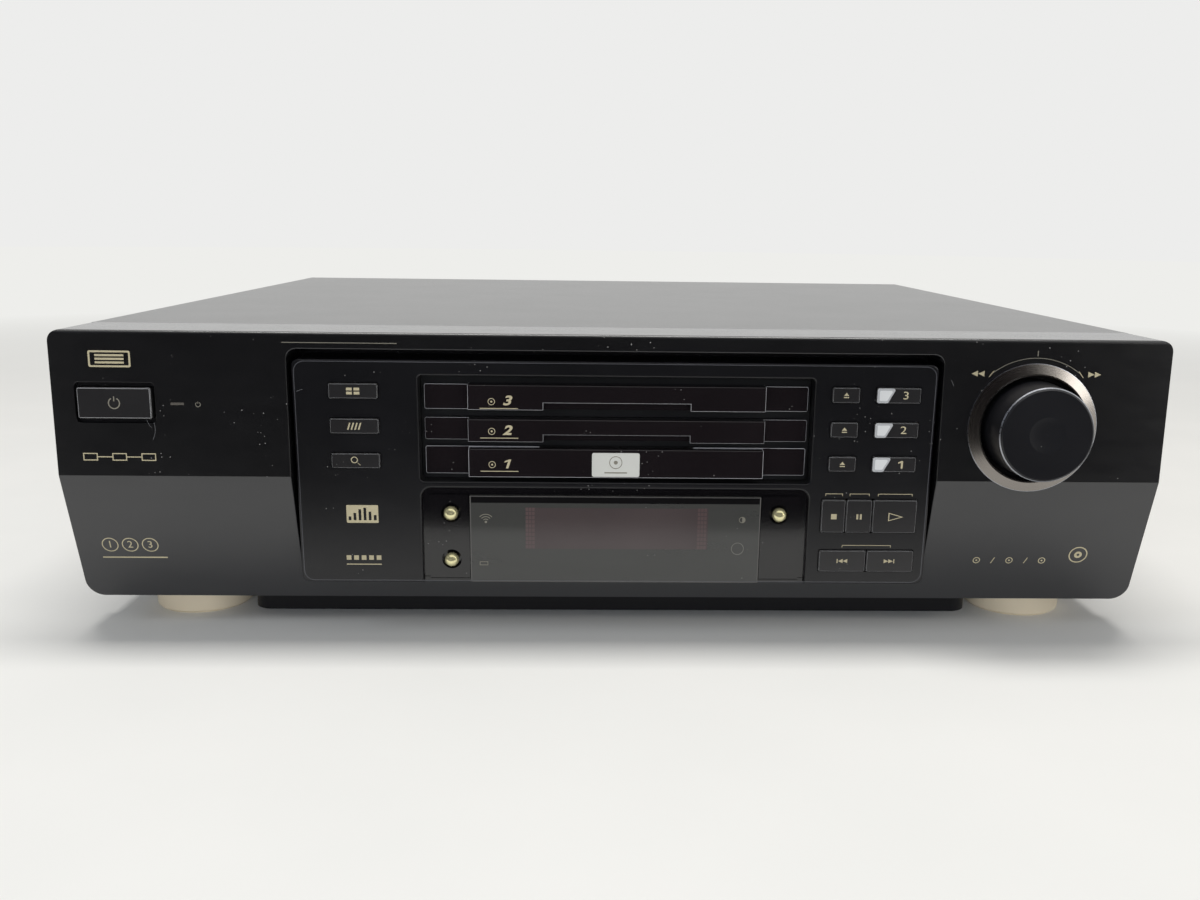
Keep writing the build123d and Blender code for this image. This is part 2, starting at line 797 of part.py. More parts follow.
# Mechanism frame: side walls with a pair of rails for each drawer and each carrier, and the lift bridge
frame_inner = frame_half_width - frame_wall
frame_length = frame_rear_depth - frame_front_depth
frame_mid_depth = (frame_front_depth + frame_rear_depth) / 2
frame_foot_mid = (frame_low_front_depth + frame_rear_depth) / 2
front_zone_top_z = centre_top_z - centre_skin - 1
bridge_front_depth = lift_rod_depth - lift_bush_radius - 3
rail_zones = (
    (frame_front_depth, tray_rear_depth, 0.0, tray_half_width, rail_overlap),
    (tray_rear_depth + 1, frame_rear_depth, tray_floor, carrier_half_width, carrier_rail_overlap),
)
with BuildPart() as mechanism_frame:
    with BuildSketch(level(tub_top_z)):
        for side in (-1, 1):
            with Locations((side * (frame_half_width - frame_wall / 2), frame_mid_depth)):
                Rectangle(frame_wall, frame_length)
        with Locations((0, frame_rear_depth + frame_wall / 2)):
            Rectangle(2 * frame_half_width, frame_wall)
    extrude(amount=frame_top_z - tub_top_z)
    for bottom, top in (
        (tub_top_z - 1, front_cutout_z + frame_step_gap),
        (front_zone_top_z, frame_top_z + 1),
    ):
        with BuildSketch(level(bottom)):
            with Locations((0, (frame_front_depth + frame_low_front_depth) / 2 - 1)):
                Rectangle(2 * frame_half_width + 2, frame_low_front_depth - frame_front_depth + 2)
        extrude(amount=top - bottom, mode=Mode.SUBTRACT)
    with BuildSketch(Plane.YZ):
        with Locations((front_y + frame_mid_depth, frame_window_z)):
            with GridLocations(frame_window + frame_window_rib, 1, frame_window_count, 1):
                RectangleRounded(frame_window, frame_window, 4)
    extrude(amount=frame_half_width + 1, both=True, mode=Mode.SUBTRACT)
    with BuildSketch(level(tub_top_z)):
        for side in (-1, 1):
            with Locations((side * (frame_half_width + frame_foot_width / 2), frame_foot_mid)):
                Rectangle(frame_foot_width, frame_rear_depth - frame_low_front_depth)
        with Locations((0, (bridge_front_depth + frame_rear_depth) / 2)):
            Rectangle(2 * frame_half_width, frame_rear_depth - bridge_front_depth)
    extrude(amount=rail_thick)
    with BuildSketch(level(frame_top_z - rail_thick)):
        with Locations((0, (bridge_front_depth + frame_rear_depth) / 2)):
            Rectangle(2 * frame_half_width, frame_rear_depth - bridge_front_depth)
    extrude(amount=rail_thick)
    for index in range(3):
        for near, far, lift, half_width, overlap in rail_zones:
            rail_top = tray_z(index) - slide_gap + lift
            inner = half_width - overlap
            with BuildSketch(level(rail_top - rail_thick)):
                for side in (-1, 1):
                    with Locations((side * (inner + frame_inner) / 2, (near + far) / 2)):
                        Rectangle(frame_inner - inner, far - near)
            extrude(amount=rail_thick)
            with BuildSketch(level(rail_top)):
                for side in (-1, 1) if lift else (-1,):
                    with Locations((side * (half_width + guide_gap + guide_wall / 2), (near + far) / 2)):
                        Rectangle(guide_wall, far - near)
            extrude(amount=guide_height)
    with BuildSketch(level(tray_z(3) - slide_gap - rail_thick)):
        with Locations(((pinion_x - 5 + frame_inner) / 2, pinion_depth)):
            Rectangle(frame_inner - pinion_x + 5, 10)
    extrude(amount=rail_thick)
    with BuildSketch(level(tub_top_z)):
        with Locations((pinion_x, pinion_depth)):
            Circle(spindle_radius + running_gap)
        for side in (-1, 1):
            with Locations((side * lift_rod_x, lift_rod_depth)):
                Circle(lift_rod_radius + running_gap)
    extrude(amount=case_height, mode=Mode.SUBTRACT)
keep(mechanism_frame, "mechanism_frame")


# Two upright rods that carry the lift carriage
with BuildPart() as lift_rods:
    with BuildSketch(level(tub_top_z)):
        for side in (-1, 1):
            with Locations((side * lift_rod_x, lift_rod_depth)):
                Circle(lift_rod_radius)
    extrude(amount=frame_top_z - tub_top_z)
keep(lift_rods, "lift_rods")


# Lift carriage: a plate with a rear web, two bushes on the rods and four lugs for the sled rods
carriage_top_z = carriage_plate_z + carriage_plate_thick
web_depth = lift_rod_depth - lift_bush_radius
sled_rod_near = spindle_depth + sled_rod_offset
sled_rod_far = sled_rod_near + sled_rod_length
with BuildPart() as lift_carriage:
    with BuildSketch(level(carriage_plate_z)):
        with Locations((0, (carriage_front_depth + web_depth) / 2)):
            Rectangle(2 * carriage_half_width, web_depth - carriage_front_depth)
        with Locations((0, spindle_depth)):
            Circle(bearing_radius + running_gap, mode=Mode.SUBTRACT)
        with Locations((0, (sled_rod_near + sled_rod_far) / 2 + 4)):
            Rectangle(sled_width - 4, sled_rod_length - 16, mode=Mode.SUBTRACT)
    extrude(amount=carriage_plate_thick)
    with BuildSketch(level(carriage_plate_z - carriage_web)):
        with Locations((0, web_depth)):
            Rectangle(2 * (lift_rod_x + lift_bush_radius), carriage_web)
        for side in (-1, 1):
            with Locations((side * lift_rod_x, lift_rod_depth)):
                Circle(lift_bush_radius)
    extrude(amount=lift_bush_height)
    for depth in (sled_rod_near, sled_rod_far):
        with BuildSketch(upright(depth)):
            for side in (-1, 1):
                with Locations((side * sled_rod_x, (carriage_top_z + sled_rod_z + lug_radius) / 2)):
                    Rectangle(2 * lug_radius, sled_rod_z + lug_radius - carriage_top_z)
        extrude(amount=lug_thick / 2, both=True)
    with BuildSketch(level(carriage_plate_z - lift_bush_height)):
        for side in (-1, 1):
            with Locations((side * lift_rod_x, lift_rod_depth)):
                Circle(lift_rod_radius + running_gap)
    extrude(amount=3 * lift_bush_height, mode=Mode.SUBTRACT)
    with BuildSketch(upright(sled_rod_far + lug_thick)):
        for side in (-1, 1):
            with Locations((side * sled_rod_x, sled_rod_z)):
                Circle(sled_rod_radius + running_gap)
    extrude(amount=sled_rod_length + 2 * lug_thick, mode=Mode.SUBTRACT)
keep(lift_carriage, "lift_carriage")


# Disc motor under the plate, with its bearing tube
with BuildPart() as disc_motor:
    with BuildSketch(level(carriage_plate_z - motor_height)):
        with Locations((0, spindle_depth)):
            Circle(motor_radius)
    extrude(amount=motor_height)
    with BuildSketch(level(carriage_plate_z)):
        with Locations((0, spindle_depth)):
            Circle(bearing_radius)
    extrude(amount=turntable_z - carriage_plate_z - bearing_gap)
    with BuildSketch(level(carriage_plate_z - motor_height - 1)):
        with Locations((0, spindle_depth)):
            Circle(shaft_radius + running_gap)
    extrude(amount=case_height / 2, mode=Mode.SUBTRACT)
keep(disc_motor, "disc_motor")


# Turntable with its centring hub and shaft
with BuildPart() as turntable:
    with BuildSketch(Plane(origin=(0, front_y + spindle_depth, 0), x_dir=(1, 0, 0), z_dir=(0, -1, 0))):
        with BuildLine():
            Polyline(
                (0, carriage_plate_z - motor_height + 1),
                (shaft_radius, carriage_plate_z - motor_height + 1),
                (shaft_radius, turntable_z),
                (turntable_radius, turntable_z),
                (turntable_radius, turntable_z + turntable_thick),
                (hub_radius, turntable_z + turntable_thick),
                (hub_radius, turntable_z + turntable_thick + hub_height / 2),
                (hub_radius - hub_height / 2, turntable_z + turntable_thick + hub_height),
                (0, turntable_z + turntable_thick + hub_height),
                close=True,
            )
        make_face()
    revolve(axis=Axis((0, front_y + spindle_depth, 0), (0, 0, 1)))
keep(turntable, "turntable")


# Rods of the pickup sled
with BuildPart() as sled_rods:
    with BuildSketch(upright(sled_rod_far + lug_thick / 2)):
        for side in (-1, 1):
            with Locations((side * sled_rod_x, sled_rod_z)):
                Circle(sled_rod_radius)
    extrude(amount=sled_rod_length + lug_thick)
keep(sled_rods, "sled_rods")


# Pickup sled: a bored base, a narrower body and the lens
sled_near = spindle_depth + sled_start - sled_nose
with BuildPart() as pickup_sled:
    with BuildSketch(upright(sled_near + sled_length)):
        with Locations((0, sled_rod_z)):
            RectangleRounded(2 * (sled_rod_x + lug_radius), 2 * lug_radius, 1)
            Rectangle(sled_width, 2 * lug_radius)
        with Locations((0, sled_rod_z + lug_radius + sled_body_height / 2)):
            Rectangle(sled_width, sled_body_height)
    extrude(amount=sled_length)
    with BuildSketch(upright(sled_near + sled_length + 1)):
        for side in (-1, 1):
            with Locations((side * sled_rod_x, sled_rod_z)):
                Circle(sled_rod_radius + running_gap)
    extrude(amount=sled_length + 2, mode=Mode.SUBTRACT)
    with BuildSketch(level(sled_rod_z + lug_radius + sled_body_height)):
        with Locations((0, spindle_depth + sled_start)):
            Circle(lens_radius)
    extrude(amount=lens_height)
keep(pickup_sled, "pickup_sled")


# Motor that drives the drawers, on its own bracket
with BuildPart() as loading_motor:
    with BuildSketch(upright(loading_motor_depth)):
        with Locations((loading_motor_x, loading_motor_z)):
            Circle(loading_motor_radius)
    extrude(amount=-loading_motor_length)
    with BuildSketch(upright(loading_motor_depth)):
        with Locations((loading_motor_x, (tub_top_z + loading_motor_z + loading_motor_radius) / 2)):
            Rectangle(2 * loading_motor_radius + 4, loading_motor_z + loading_motor_radius - tub_top_z)
        with Locations((loading_motor_x, loading_motor_z)):
            Circle(shaft_radius, mode=Mode.SUBTRACT)
    extrude(amount=rail_thick)
    with BuildSketch(upright(loading_motor_depth)):
        with Locations((loading_motor_x, loading_motor_z)):
            Circle(shaft_radius)
    extrude(amount=loading_shaft_length)
    with BuildSketch(upright(loading_motor_depth - loading_shaft_length)):
        with Locations((loading_motor_x, loading_motor_z)):
            Circle(loading_pulley_radius)
    extrude(amount=-loading_shaft_length / 2)
keep(loading_motor, "loading_motor")


# Keys of the raked face
def raked_key(x, z, width, height, shift=0.0):
    """Key cap with a retaining lip behind the skin and a stem that reaches its switch."""
    lip_sink = centre_skin + key_flange_gap
    reach = (front_board_depth - press_gap - key_travel - face_depth(z)) / math.cos(rake)
    with BuildPart() as key:
        with BuildSketch(face_plane.offset(key_proud)):
            with Locations(on_face(x, z)):
                RectangleRounded(width, height, key_corner)
        extrude(amount=-(key_proud + lip_sink))
        chamfer(key.faces().sort_by(face_axis)[-1].edges(), key_bevel)
        with BuildSketch(face_plane.offset(-lip_sink)):
            with Locations(on_face(x, z)):
                Rectangle(width - key_gap, height + 2 * key_lip)
        extrude(amount=-key_flange)
        with BuildSketch(face_plane.offset(-lip_sink - key_flange)):
            with Locations(on_face(x + shift, z)):
                Circle(stem_radius)
        extrude(amount=-(reach - lip_sink - key_flange))
    return key


def lens_outline(x, z, width, height, inset):
    """Slanted outline of the lens at the left end of a disc key, drawn smaller by the inset."""
    left, middle = on_face(x - width / 2, z)
    top = left + lens_share * width + lens_slant / 2 - inset
    bottom = left + lens_share * width - lens_slant / 2 - inset
    return [
        (left - 1, middle - height),
        (bottom - lens_slant / 2, middle - height),
        (top + lens_slant / 2, middle + height),
        (left - 1, middle + height),
    ]


def disc_key(x, z, width, height):
    """Key whose left end is a separate translucent lens."""
    whole = raked_key(x, z, width, height)
    with BuildPart() as cap:
        add(whole.part)
        with BuildSketch(face_plane.offset(key_proud + 1)):
            Polygon(*lens_outline(x, z, width, height, 0.0), align=None)
        extrude(amount=-(key_proud + centre_skin), mode=Mode.SUBTRACT)
    with BuildPart() as lens:
        add(whole.part)
        with BuildSketch(face_plane.offset(key_proud + 1)):
            Polygon(*lens_outline(x, z, width, height, lens_joint), align=None)
        extrude(amount=-(key_proud + centre_skin - lens_joint), mode=Mode.INTERSECT)
    with BuildPart() as key:
        add(cap.part)
        add(lens.part)
    return key


for row in range(3):
    z = row_z + row * row_pitch
    x, width, height = effect_button
    keep(raked_key(x, z, width, height), f"effect_button_{row + 1}")
    x, width, height = eject_button
    keep(raked_key(x, z, width, height, stem_shift), f"eject_button_{row + 1}")
    x, width, height = disc_button
    keep(disc_key(x, z, width, height), f"disc_button_{row + 1}")

for names, edges, z, height in (
    (("stop_button", "pause_button", "play_button"), transport_edges, transport_z, transport_height),
    (("skip_back_button", "skip_forward_button"), skip_edges, skip_z, skip_height),
):
    for number, name in enumerate(names):
        left = edges[number] + (key_split / 2 if number else 0)
        right = edges[number + 1] - (key_split / 2 if number < len(names) - 1 else 0)
        keep(raked_key((left + right) / 2, z, right - left, height), name)


# Display mounting: a plate in the recess, a raised cheek at each side with its wells, and the view hole
plate_width = 2 * (display_half_width - display_gap)
cheek_mid_x = (cheek_inner_x + cheek_outer_x) / 2
cheek_bottom_z = centre_bottom_z + display_gap
with BuildPart() as display_cheeks:
    with BuildSketch(face_plane.offset(-centre_skin)):
        with Locations(on_face(0, (display_top_z - display_gap + cheek_bottom_z) / 2)):
            Rectangle(plate_width, display_top_z - display_gap - cheek_bottom_z)
        with Locations(on_face(0, (window_bottom_z - 2 + centre_bottom_z + centre_skin + display_gap) / 2)):
            Rectangle(
                2 * (display_half_width + display_flange),
                window_bottom_z - 2 - centre_bottom_z - centre_skin - display_gap,
            )
    extrude(amount=-display_plate)
    with BuildSketch(face_plane.offset(-centre_skin)):
        for side in (-1, 1):
            with Locations(on_face(side * cheek_mid_x, (cheek_top_z + cheek_bottom_z) / 2)):
                RectangleRounded(cheek_outer_x - cheek_inner_x, cheek_top_z - cheek_bottom_z, 1)
    extrude(amount=centre_skin - cheek_sink)
    with BuildSketch(face_plane.offset(-centre_skin - display_plate)):
        for x, z in ball_places:
            with Locations(on_face(x, z)):
                Circle(ball_boss_radius)
    extrude(amount=-ball_boss_thick)
    with BuildSketch(face_plane.offset(-ball_well_sink)):
        for x, z in ball_places:
            with Locations(on_face(x, z)):
                Circle(ball_well_radius)
    extrude(amount=ball_well_sink, mode=Mode.SUBTRACT)
    with BuildSketch(face_plane):
        for x, z in ball_places:
            with Locations(on_face(x, z)):
                Circle(ball_stem_radius + running_gap)
        with Locations(on_face(0, (view_bottom_z + view_top_z) / 2)):
            Rectangle(2 * view_half_width, view_top_z - view_bottom_z)
    extrude(amount=-3 * ball_well_sink, mode=Mode.SUBTRACT)
keep(display_cheeks, "display_cheeks")

# Display window, which lies on the plate between the cheeks
with BuildPart() as display_window:
    with BuildSketch(face_plane):
        with Locations(on_face(0, (glass_top_z + glass_bottom_z) / 2)):
            Rectangle(2 * glass_half_width, glass_top_z - glass_bottom_z)
    extrude(amount=-centre_skin)
    chamfer(display_window.faces().sort_by(face_axis)[-1].edges(), key_bevel)
keep(display_window, "display_window")

# Display tube on two holders in front of the key board
with BuildPart() as display_tube:
    with BuildSketch(upright(tube_rear_depth)):
        with Locations((0, (view_bottom_z + view_top_z) / 2)):
            RectangleRounded(2 * view_half_width + 4, view_top_z - view_bottom_z + 2, 1)
    extrude(amount=tube_thick)
    with BuildSketch(upright(front_board_depth)):
        for side in (-1, 1):
            with Locations((side * (view_half_width - 6), (view_bottom_z + view_top_z) / 2)):
                Rectangle(8, view_top_z - view_bottom_z - 6)
    extrude(amount=front_board_depth - tube_rear_depth)
keep(display_tube, "display_tube")

# Round keys of the cheeks
for number, (x, z) in enumerate(ball_places):
    reach = (front_board_depth - press_gap - key_travel - face_depth(z)) / math.cos(rake)
    with BuildPart() as ball_key:
        with BuildSketch(face_plane.offset(-ball_sink)):
            with Locations(on_face(x, z)):
                Circle(ball_stem_radius)
        extrude(amount=-(reach - ball_sink))
        with Locations(face_plane.offset(-ball_sink).location * Location((*on_face(x, z), 0))):
            Sphere(ball_radius)
    keep(ball_key, f"ball_button_{number + 1}")


# Power key
with BuildPart() as power_button:
    with BuildSketch(upright(-power_proud)):
        with Locations((power_x, power_z)):
            RectangleRounded(power_width, power_height, key_corner)
    extrude(amount=-(power_proud + power_pad + key_flange_gap))
    chamfer(power_button.faces().sort_by(Axis.Y)[0].edges(), key_bevel)
    with BuildSketch(upright(power_pad + key_flange_gap)):
        with Locations((power_x, power_z)):
            Rectangle(power_width + 2 * key_lip, power_height + 2 * key_lip)
    extrude(amount=-key_flange)
    with BuildSketch(upright(power_pad + key_flange)):
        with Locations((power_x, power_z)):
            Circle(2 * stem_radius)
    extrude(amount=-(power_board_depth - press_gap - power_travel - power_pad - key_flange))
keep(power_button, "power_button")

# Lens of the standby lamp
with BuildPart() as standby_lamp:
    with BuildSketch(upright(panel_wall)):
        with Locations((lamp_x, lamp_z)):
            Rectangle(lamp_width, lamp_height)
    extrude(amount=panel_wall + lamp_proud)
    with BuildSketch(upright(panel_wall)):
        with Locations((lamp_x, lamp_z)):
            Rectangle(lamp_width + 2, lamp_height + 2)
    extrude(amount=-1.5)
keep(standby_lamp, "standby_lamp")


# Shuttle ring and knob, both turned about the dial's axis
dial_plane = Plane(origin=(dial_x, front_y, dial_z), x_dir=(1, 0, 0), z_dir=(0, 0, 1))
dial_axis = Axis((dial_x, front_y, dial_z), (0, 1, 0))
with BuildPart() as shuttle_ring:
    with BuildSketch(dial_plane):
        with BuildLine():
            Polyline(
                (ring_inner_radius, 0),
                (ring_outer_radius, 0),
                (ring_outer_radius, -ring_edge),
                (ring_inner_radius, -ring_proud),
                (ring_inner_radius - ring_wall, -ring_proud),
                (ring_inner_radius - ring_wall, dial_well_depth),
                (ring_inner_radius, dial_well_depth),
                close=True,
            )
        make_face()
    revolve(axis=dial_axis)
keep(shuttle_ring, "shuttle_ring")

dimple_arc = (knob_dimple_radius**2 + knob_dimple_sink**2) / (2 * knob_dimple_sink)
dimple_half = knob_dimple_radius / 2
dimple_half_sink = knob_dimple_sink - (dimple_arc - math.sqrt(dimple_arc**2 - dimple_half**2))
with BuildPart() as shuttle_knob:
    with BuildSketch(dial_plane):
        with BuildLine():
            ThreePointArc(
                (0, -knob_proud + knob_dimple_sink),
                (dimple_half, -knob_proud + dimple_half_sink),
                (knob_dimple_radius, -knob_proud),
            )
            Polyline(
                (knob_dimple_radius, -knob_proud),
                (knob_face_radius - knob_edge, -knob_proud),
                (knob_face_radius, -knob_proud + knob_edge),
                (knob_base_radius, knob_skirt_depth),
                (knob_base_radius - knob_wall, knob_skirt_depth),
                (knob_face_radius - knob_wall, -knob_proud + 2 * knob_wall),
                (2 * knob_shaft_radius, -knob_proud + 2 * knob_wall),
                (2 * knob_shaft_radius, knob_skirt_depth),
                (knob_shaft_radius, knob_skirt_depth),
                (knob_shaft_radius, knob_shaft_depth),
                (0, knob_shaft_depth),
                (0, -knob_proud + knob_dimple_sink),
            )
        make_face()
    revolve(axis=dial_axis)
keep(shuttle_knob, "shuttle_knob")


# Boards behind the front: keys and display, power switch, and the dial's encoder
with BuildPart() as front_board:
    with BuildSketch(upright(front_board_depth + board_thick)):
        with Locations((0, (front_board_top_z + front_board_bottom_z) / 2)):
            Rectangle(2 * front_board_half, front_board_top_z - front_board_bottom_z)
        with Locations((0, (front_cutout_z + front_board_top_z + 1) / 2)):
            Rectangle(
                2 * (frame_half_width + board_gap),
                front_board_top_z + 1 - front_cutout_z,
                mode=Mode.SUBTRACT,
            )
    extrude(amount=board_thick)
    with BuildSketch(upright(power_board_depth + board_thick)):
        with Locations((power_x, power_z)):
            Rectangle(power_width + power_board_margin, power_height + power_board_margin)
    extrude(amount=board_thick)
    with BuildSketch(upright(power_board_depth)):
        with Locations((power_x, power_z)):
            with GridLocations(
                power_width + power_board_margin - 2 * stem_radius,
                power_height + power_board_margin - 2 * stem_radius,
                2,
                2,
            ):
                Circle(stem_radius)
    extrude(amount=power_board_depth - power_pad)
    with BuildSketch(upright(encoder_depth + encoder_thick + board_thick)):
        with Locations((dial_x, dial_z)):
            Rectangle(encoder_board, encoder_board)
    extrude(amount=board_thick)
    with BuildSketch(upright(encoder_depth + encoder_thick)):
        with Locations((dial_x, dial_z)):
            Rectangle(encoder_size, encoder_size)
            Circle(knob_shaft_radius + running_gap, mode=Mode.SUBTRACT)
    extrude(amount=encoder_thick)
    with BuildSketch(upright(encoder_depth + encoder_thick)):
        with Locations((dial_x, dial_z)):
            with GridLocations(encoder_board - 4, encoder_board - 4, 2, 2):
                Circle(stem_radius)
    extrude(amount=encoder_thick + encoder_depth - dial_pad)
keep(front_board, "front_board")


# Chassis: a floor pan with a dropped middle, turned up at its sides and front
floor_half_width = cover_width / 2 - sheet - cover_clearance
floor_front_depth = panel_depth
floor_rear_depth = case_depth - rear_panel_thick
floor_mid_depth = (floor_front_depth + floor_rear_depth) / 2
tub_mid_depth = (tub_front_depth + tub_rear_depth) / 2
with BuildPart() as base_chassis:
    with BuildSketch(level(foot_height)):
        with Locations((0, floor_mid_depth)):
            Rectangle(2 * floor_half_width, floor_rear_depth - floor_front_depth)
    extrude(amount=flange_height)
    with BuildSketch(level(floor_top_z)):
        with Locations((0, floor_mid_depth + sheet)):
            Rectangle(2 * (floor_half_width - sheet), floor_rear_depth - floor_front_depth)
    extrude(amount=flange_height, mode=Mode.SUBTRACT)
    with BuildSketch(level(tub_floor_z)):
        with Locations((0, tub_mid_depth)):
            RectangleRounded(2 * tub_half_width, tub_rear_depth - tub_front_depth, tub_corner)
    extrude(amount=foot_height - tub_floor_z)
    with BuildSketch(level(tub_top_z)):
        with Locations((0, tub_mid_depth)):
            RectangleRounded(
                2 * (tub_half_width - sheet),
                tub_rear_depth - tub_front_depth - 2 * sheet,
                tub_corner - sheet,
            )
    extrude(amount=floor_top_z - tub_top_z, mode=Mode.SUBTRACT)
    with BuildSketch(level(floor_top_z)):
        with Locations((0, tub_front_depth + (floor_front_depth - tub_front_depth) / 2 + 2)):
            Rectangle(2 * (tub_half_width - tub_corner), floor_front_depth - tub_front_depth - 2)
    extrude(amount=flange_height, mode=Mode.SUBTRACT)
    with BuildSketch(level(tub_floor_z - 1)):
        for side in (-1, 1):
            with Locations((side * vent_x, tub_mid_depth)):
                with GridLocations(1, vent_pitch, 1, vent_count):
                    Rectangle(vent_length, vent_width)
    extrude(amount=sheet + 2, mode=Mode.SUBTRACT)
keep(base_chassis, "base_chassis")


# Feet
for side, side_name in ((-1, "left"), (1, "right")):
    for depth, end_name in ((foot_front_depth, "front"), (foot_rear_depth, "rear")):
        with BuildPart() as foot:
            foot_place = (side * foot_x, front_y + depth, 0)
            with BuildSketch(Plane(origin=foot_place, x_dir=(1, 0, 0), z_dir=(0, -1, 0))):
                with BuildLine():
                    Polyline(
                        (foot_screw_radius, 0),
                        (foot_base_radius - foot_bevel, 0),
                        (foot_base_radius, foot_bevel),
                        (foot_top_radius, foot_height),
                        (0, foot_height),
                        (0, foot_height / 2),
                        (foot_screw_radius, foot_height / 2),
                        close=True,
                    )
                make_face()
            revolve(axis=Axis(foot_place, (0, 0, 1)))
        keep(foot, f"foot_{end_name}_{side_name}")


# Steel cover: top and sides in one sheet, with cooling slots towards the rear of the sides
with BuildPart() as top_cover:
    with BuildSketch(upright(panel_depth)):
        with Locations((0, (case_height + cover_bottom_z) / 2)):
            Rectangle(cover_width, case_height - cover_bottom_z)
        with Locations((0, (case_height - sheet + cover_bottom_z - 1) / 2)):
            Rectangle(cover_width - 2 * sheet, case_height - sheet - cover_bottom_z + 1, mode=Mode.SUBTRACT)
    extrude(amount=-(case_depth - panel_depth))
    fillet(
        top_cover.edges().filter_by(Axis.Y).group_by(Axis.Z)[-1],
        cover_bend_radius,
    )
    with BuildSketch(Plane.YZ):
        with Locations((front_y + side_vent_depth, side_vent_z)):
            with GridLocations(side_vent_pitch, 1, side_vent_count, 1):
                Rectangle(vent_width, side_vent_height)
    extrude(amount=cover_width, both=True, mode=Mode.SUBTRACT)
keep(top_cover, "top_cover")


# Rear panel with a hole for each socket and a grille of slots
rear_top_z = case_height - sheet
optical_hole = optical_size + 2 * panel_hole_gap
with BuildPart() as rear_panel:
    with BuildSketch(upright(case_depth)):
        with Locations((0, (rear_top_z + foot_height) / 2)):
            Rectangle(2 * floor_half_width, rear_top_z - foot_height)
        for x, z in rca_places:
            with Locations((x, z)):
                Circle(rca_base_radius + panel_hole_gap, mode=Mode.SUBTRACT)
        with Locations(s_video_place):
            Circle(s_video_radius + panel_hole_gap, mode=Mode.SUBTRACT)
        with Locations(optical_place):
            Rectangle(optical_hole, optical_hole, mode=Mode.SUBTRACT)
        with Locations(inlet_place):
            Rectangle(inlet_width + 2 * panel_hole_gap, inlet_height + 2 * panel_hole_gap, mode=Mode.SUBTRACT)
        with Locations((rear_vent_x, rear_vent_z)):
            with GridLocations(rear_vent_pitch, 1, rear_vent_count, 1):
                Rectangle(vent_width, rear_vent_height, mode=Mode.SUBTRACT)
    extrude(amount=rear_panel_thick)
keep(rear_panel, "rear_panel")


# Sockets: each stands on the main board and looks out of its hole
jack_block_depth = case_depth - rear_panel_thick
board_top_z = board_z + board_thick
with BuildPart() as av_jacks:
    for x in sorted({place[0] for place in rca_places}):
        top = max(place[1] for place in rca_places if place[0] == x) + rca_base_radius + 2
        with BuildSketch(upright(jack_block_depth)):
            with Locations((x, (board_top_z + top) / 2)):
                Rectangle(2 * rca_base_radius + 2, top - board_top_z)
        extrude(amount=jack_block_length)
    with BuildSketch(upright(jack_block_depth)):
        with Locations((s_video_place[0], (board_top_z + s_video_place[1] + s_video_radius + 2) / 2)):
            Rectangle(2 * s_video_radius + 2, s_video_place[1] + s_video_radius + 2 - board_top_z)
        with Locations((optical_place[0], (board_top_z + optical_place[1] + optical_size) / 2)):
            Rectangle(optical_size + 4, optical_place[1] + optical_size - board_top_z)
    extrude(amount=jack_block_length)
    with BuildSketch(upright(jack_block_depth)):
        for x, z in rca_places:
            with Locations((x, z)):
                Circle(rca_base_radius)
        with Locations(s_video_place):
            Circle(s_video_radius)
        with Locations(optical_place):
            Rectangle(optical_size, optical_size)
    extrude(amount=-(rear_panel_thick + rca_base_thick))
    with BuildSketch(upright(jack_block_depth)):
        for x, z in rca_places:
            with Locations((x, z)):
                Circle(rca_radius)
    extrude(amount=-(rear_panel_thick + jack_proud))
    with BuildSketch(upright(case_depth + jack_proud + 1)):
        for x, z in rca_places:
            with Locations((x, z)):
                Circle(rca_bore)
    extrude(amount=jack_proud + 1, mode=Mode.SUBTRACT)
    with BuildSketch(upright(case_depth + rca_base_thick + 1)):
        with Locations(s_video_place):
            Circle(s_video_radius - 1.5)
        with Locations(optical_place):
            Rectangle(optical_size - 4, optical_size - 4)
    extrude(amount=6, mode=Mode.SUBTRACT)
keep(av_jacks, "av_jacks")


# Mains inlet with its two pins
with BuildPart() as ac_inlet:
    with BuildSketch(upright(case_depth)):
        with Locations(inlet_place):
            Rectangle(inlet_width, inlet_height)
    extrude(amount=inlet_depth)
    with BuildSketch(upright(case_depth)):
        with Locations(inlet_place):
            RectangleRounded(inlet_width + 2 * inlet_flange, inlet_height + 2 * inlet_flange, 2)
    extrude(amount=-inlet_lip)
    with BuildSketch(upright(case_depth + inlet_lip + 1)):
        with Locations(inlet_place):
            with GridLocations(inlet_pin_pitch, 1, 2, 1):
                Circle(inlet_lobe_radius)
            Rectangle(inlet_pin_pitch, inlet_lobe_radius)
    extrude(amount=inlet_well + 1, mode=Mode.SUBTRACT)
    with BuildSketch(upright(case_depth - inlet_well + inlet_lip)):
        with Locations(inlet_place):
            with GridLocations(inlet_pin_pitch, 1, 2, 1):
                Circle(inlet_pin_radius)
    extrude(amount=-(inlet_well - 2))
keep(ac_inlet, "ac_inlet")


# Main board: an L with a strip behind the mechanism, on posts, with its chips
with BuildPart() as main_board:
    with BuildSketch(level(board_z)):
        with Locations(((main_board_left + main_board_right) / 2, (main_board_near + main_board_far) / 2)):
            Rectangle(main_board_right - main_board_left, main_board_far - main_board_near)
        with Locations(((strip_left + main_board_left) / 2, (strip_near + main_board_far) / 2)):
            Rectangle(main_board_left - strip_left, main_board_far - strip_near)
    extrude(amount=board_thick)
    with BuildSketch(level(board_z)):
        with Locations(*tub_posts):
            Circle(post_radius)
    extrude(amount=-(board_z - tub_top_z))
    with BuildSketch(level(board_z)):
        with Locations(*floor_posts):
            Circle(post_radius)
    extrude(amount=-(board_z - floor_top_z))
    for x, depth, width, length, height in main_chips:
        with BuildSketch(level(board_top_z)):
            with Locations((x, depth)):
                Rectangle(width, length)
        extrude(amount=height)
keep(main_board, "main_board")


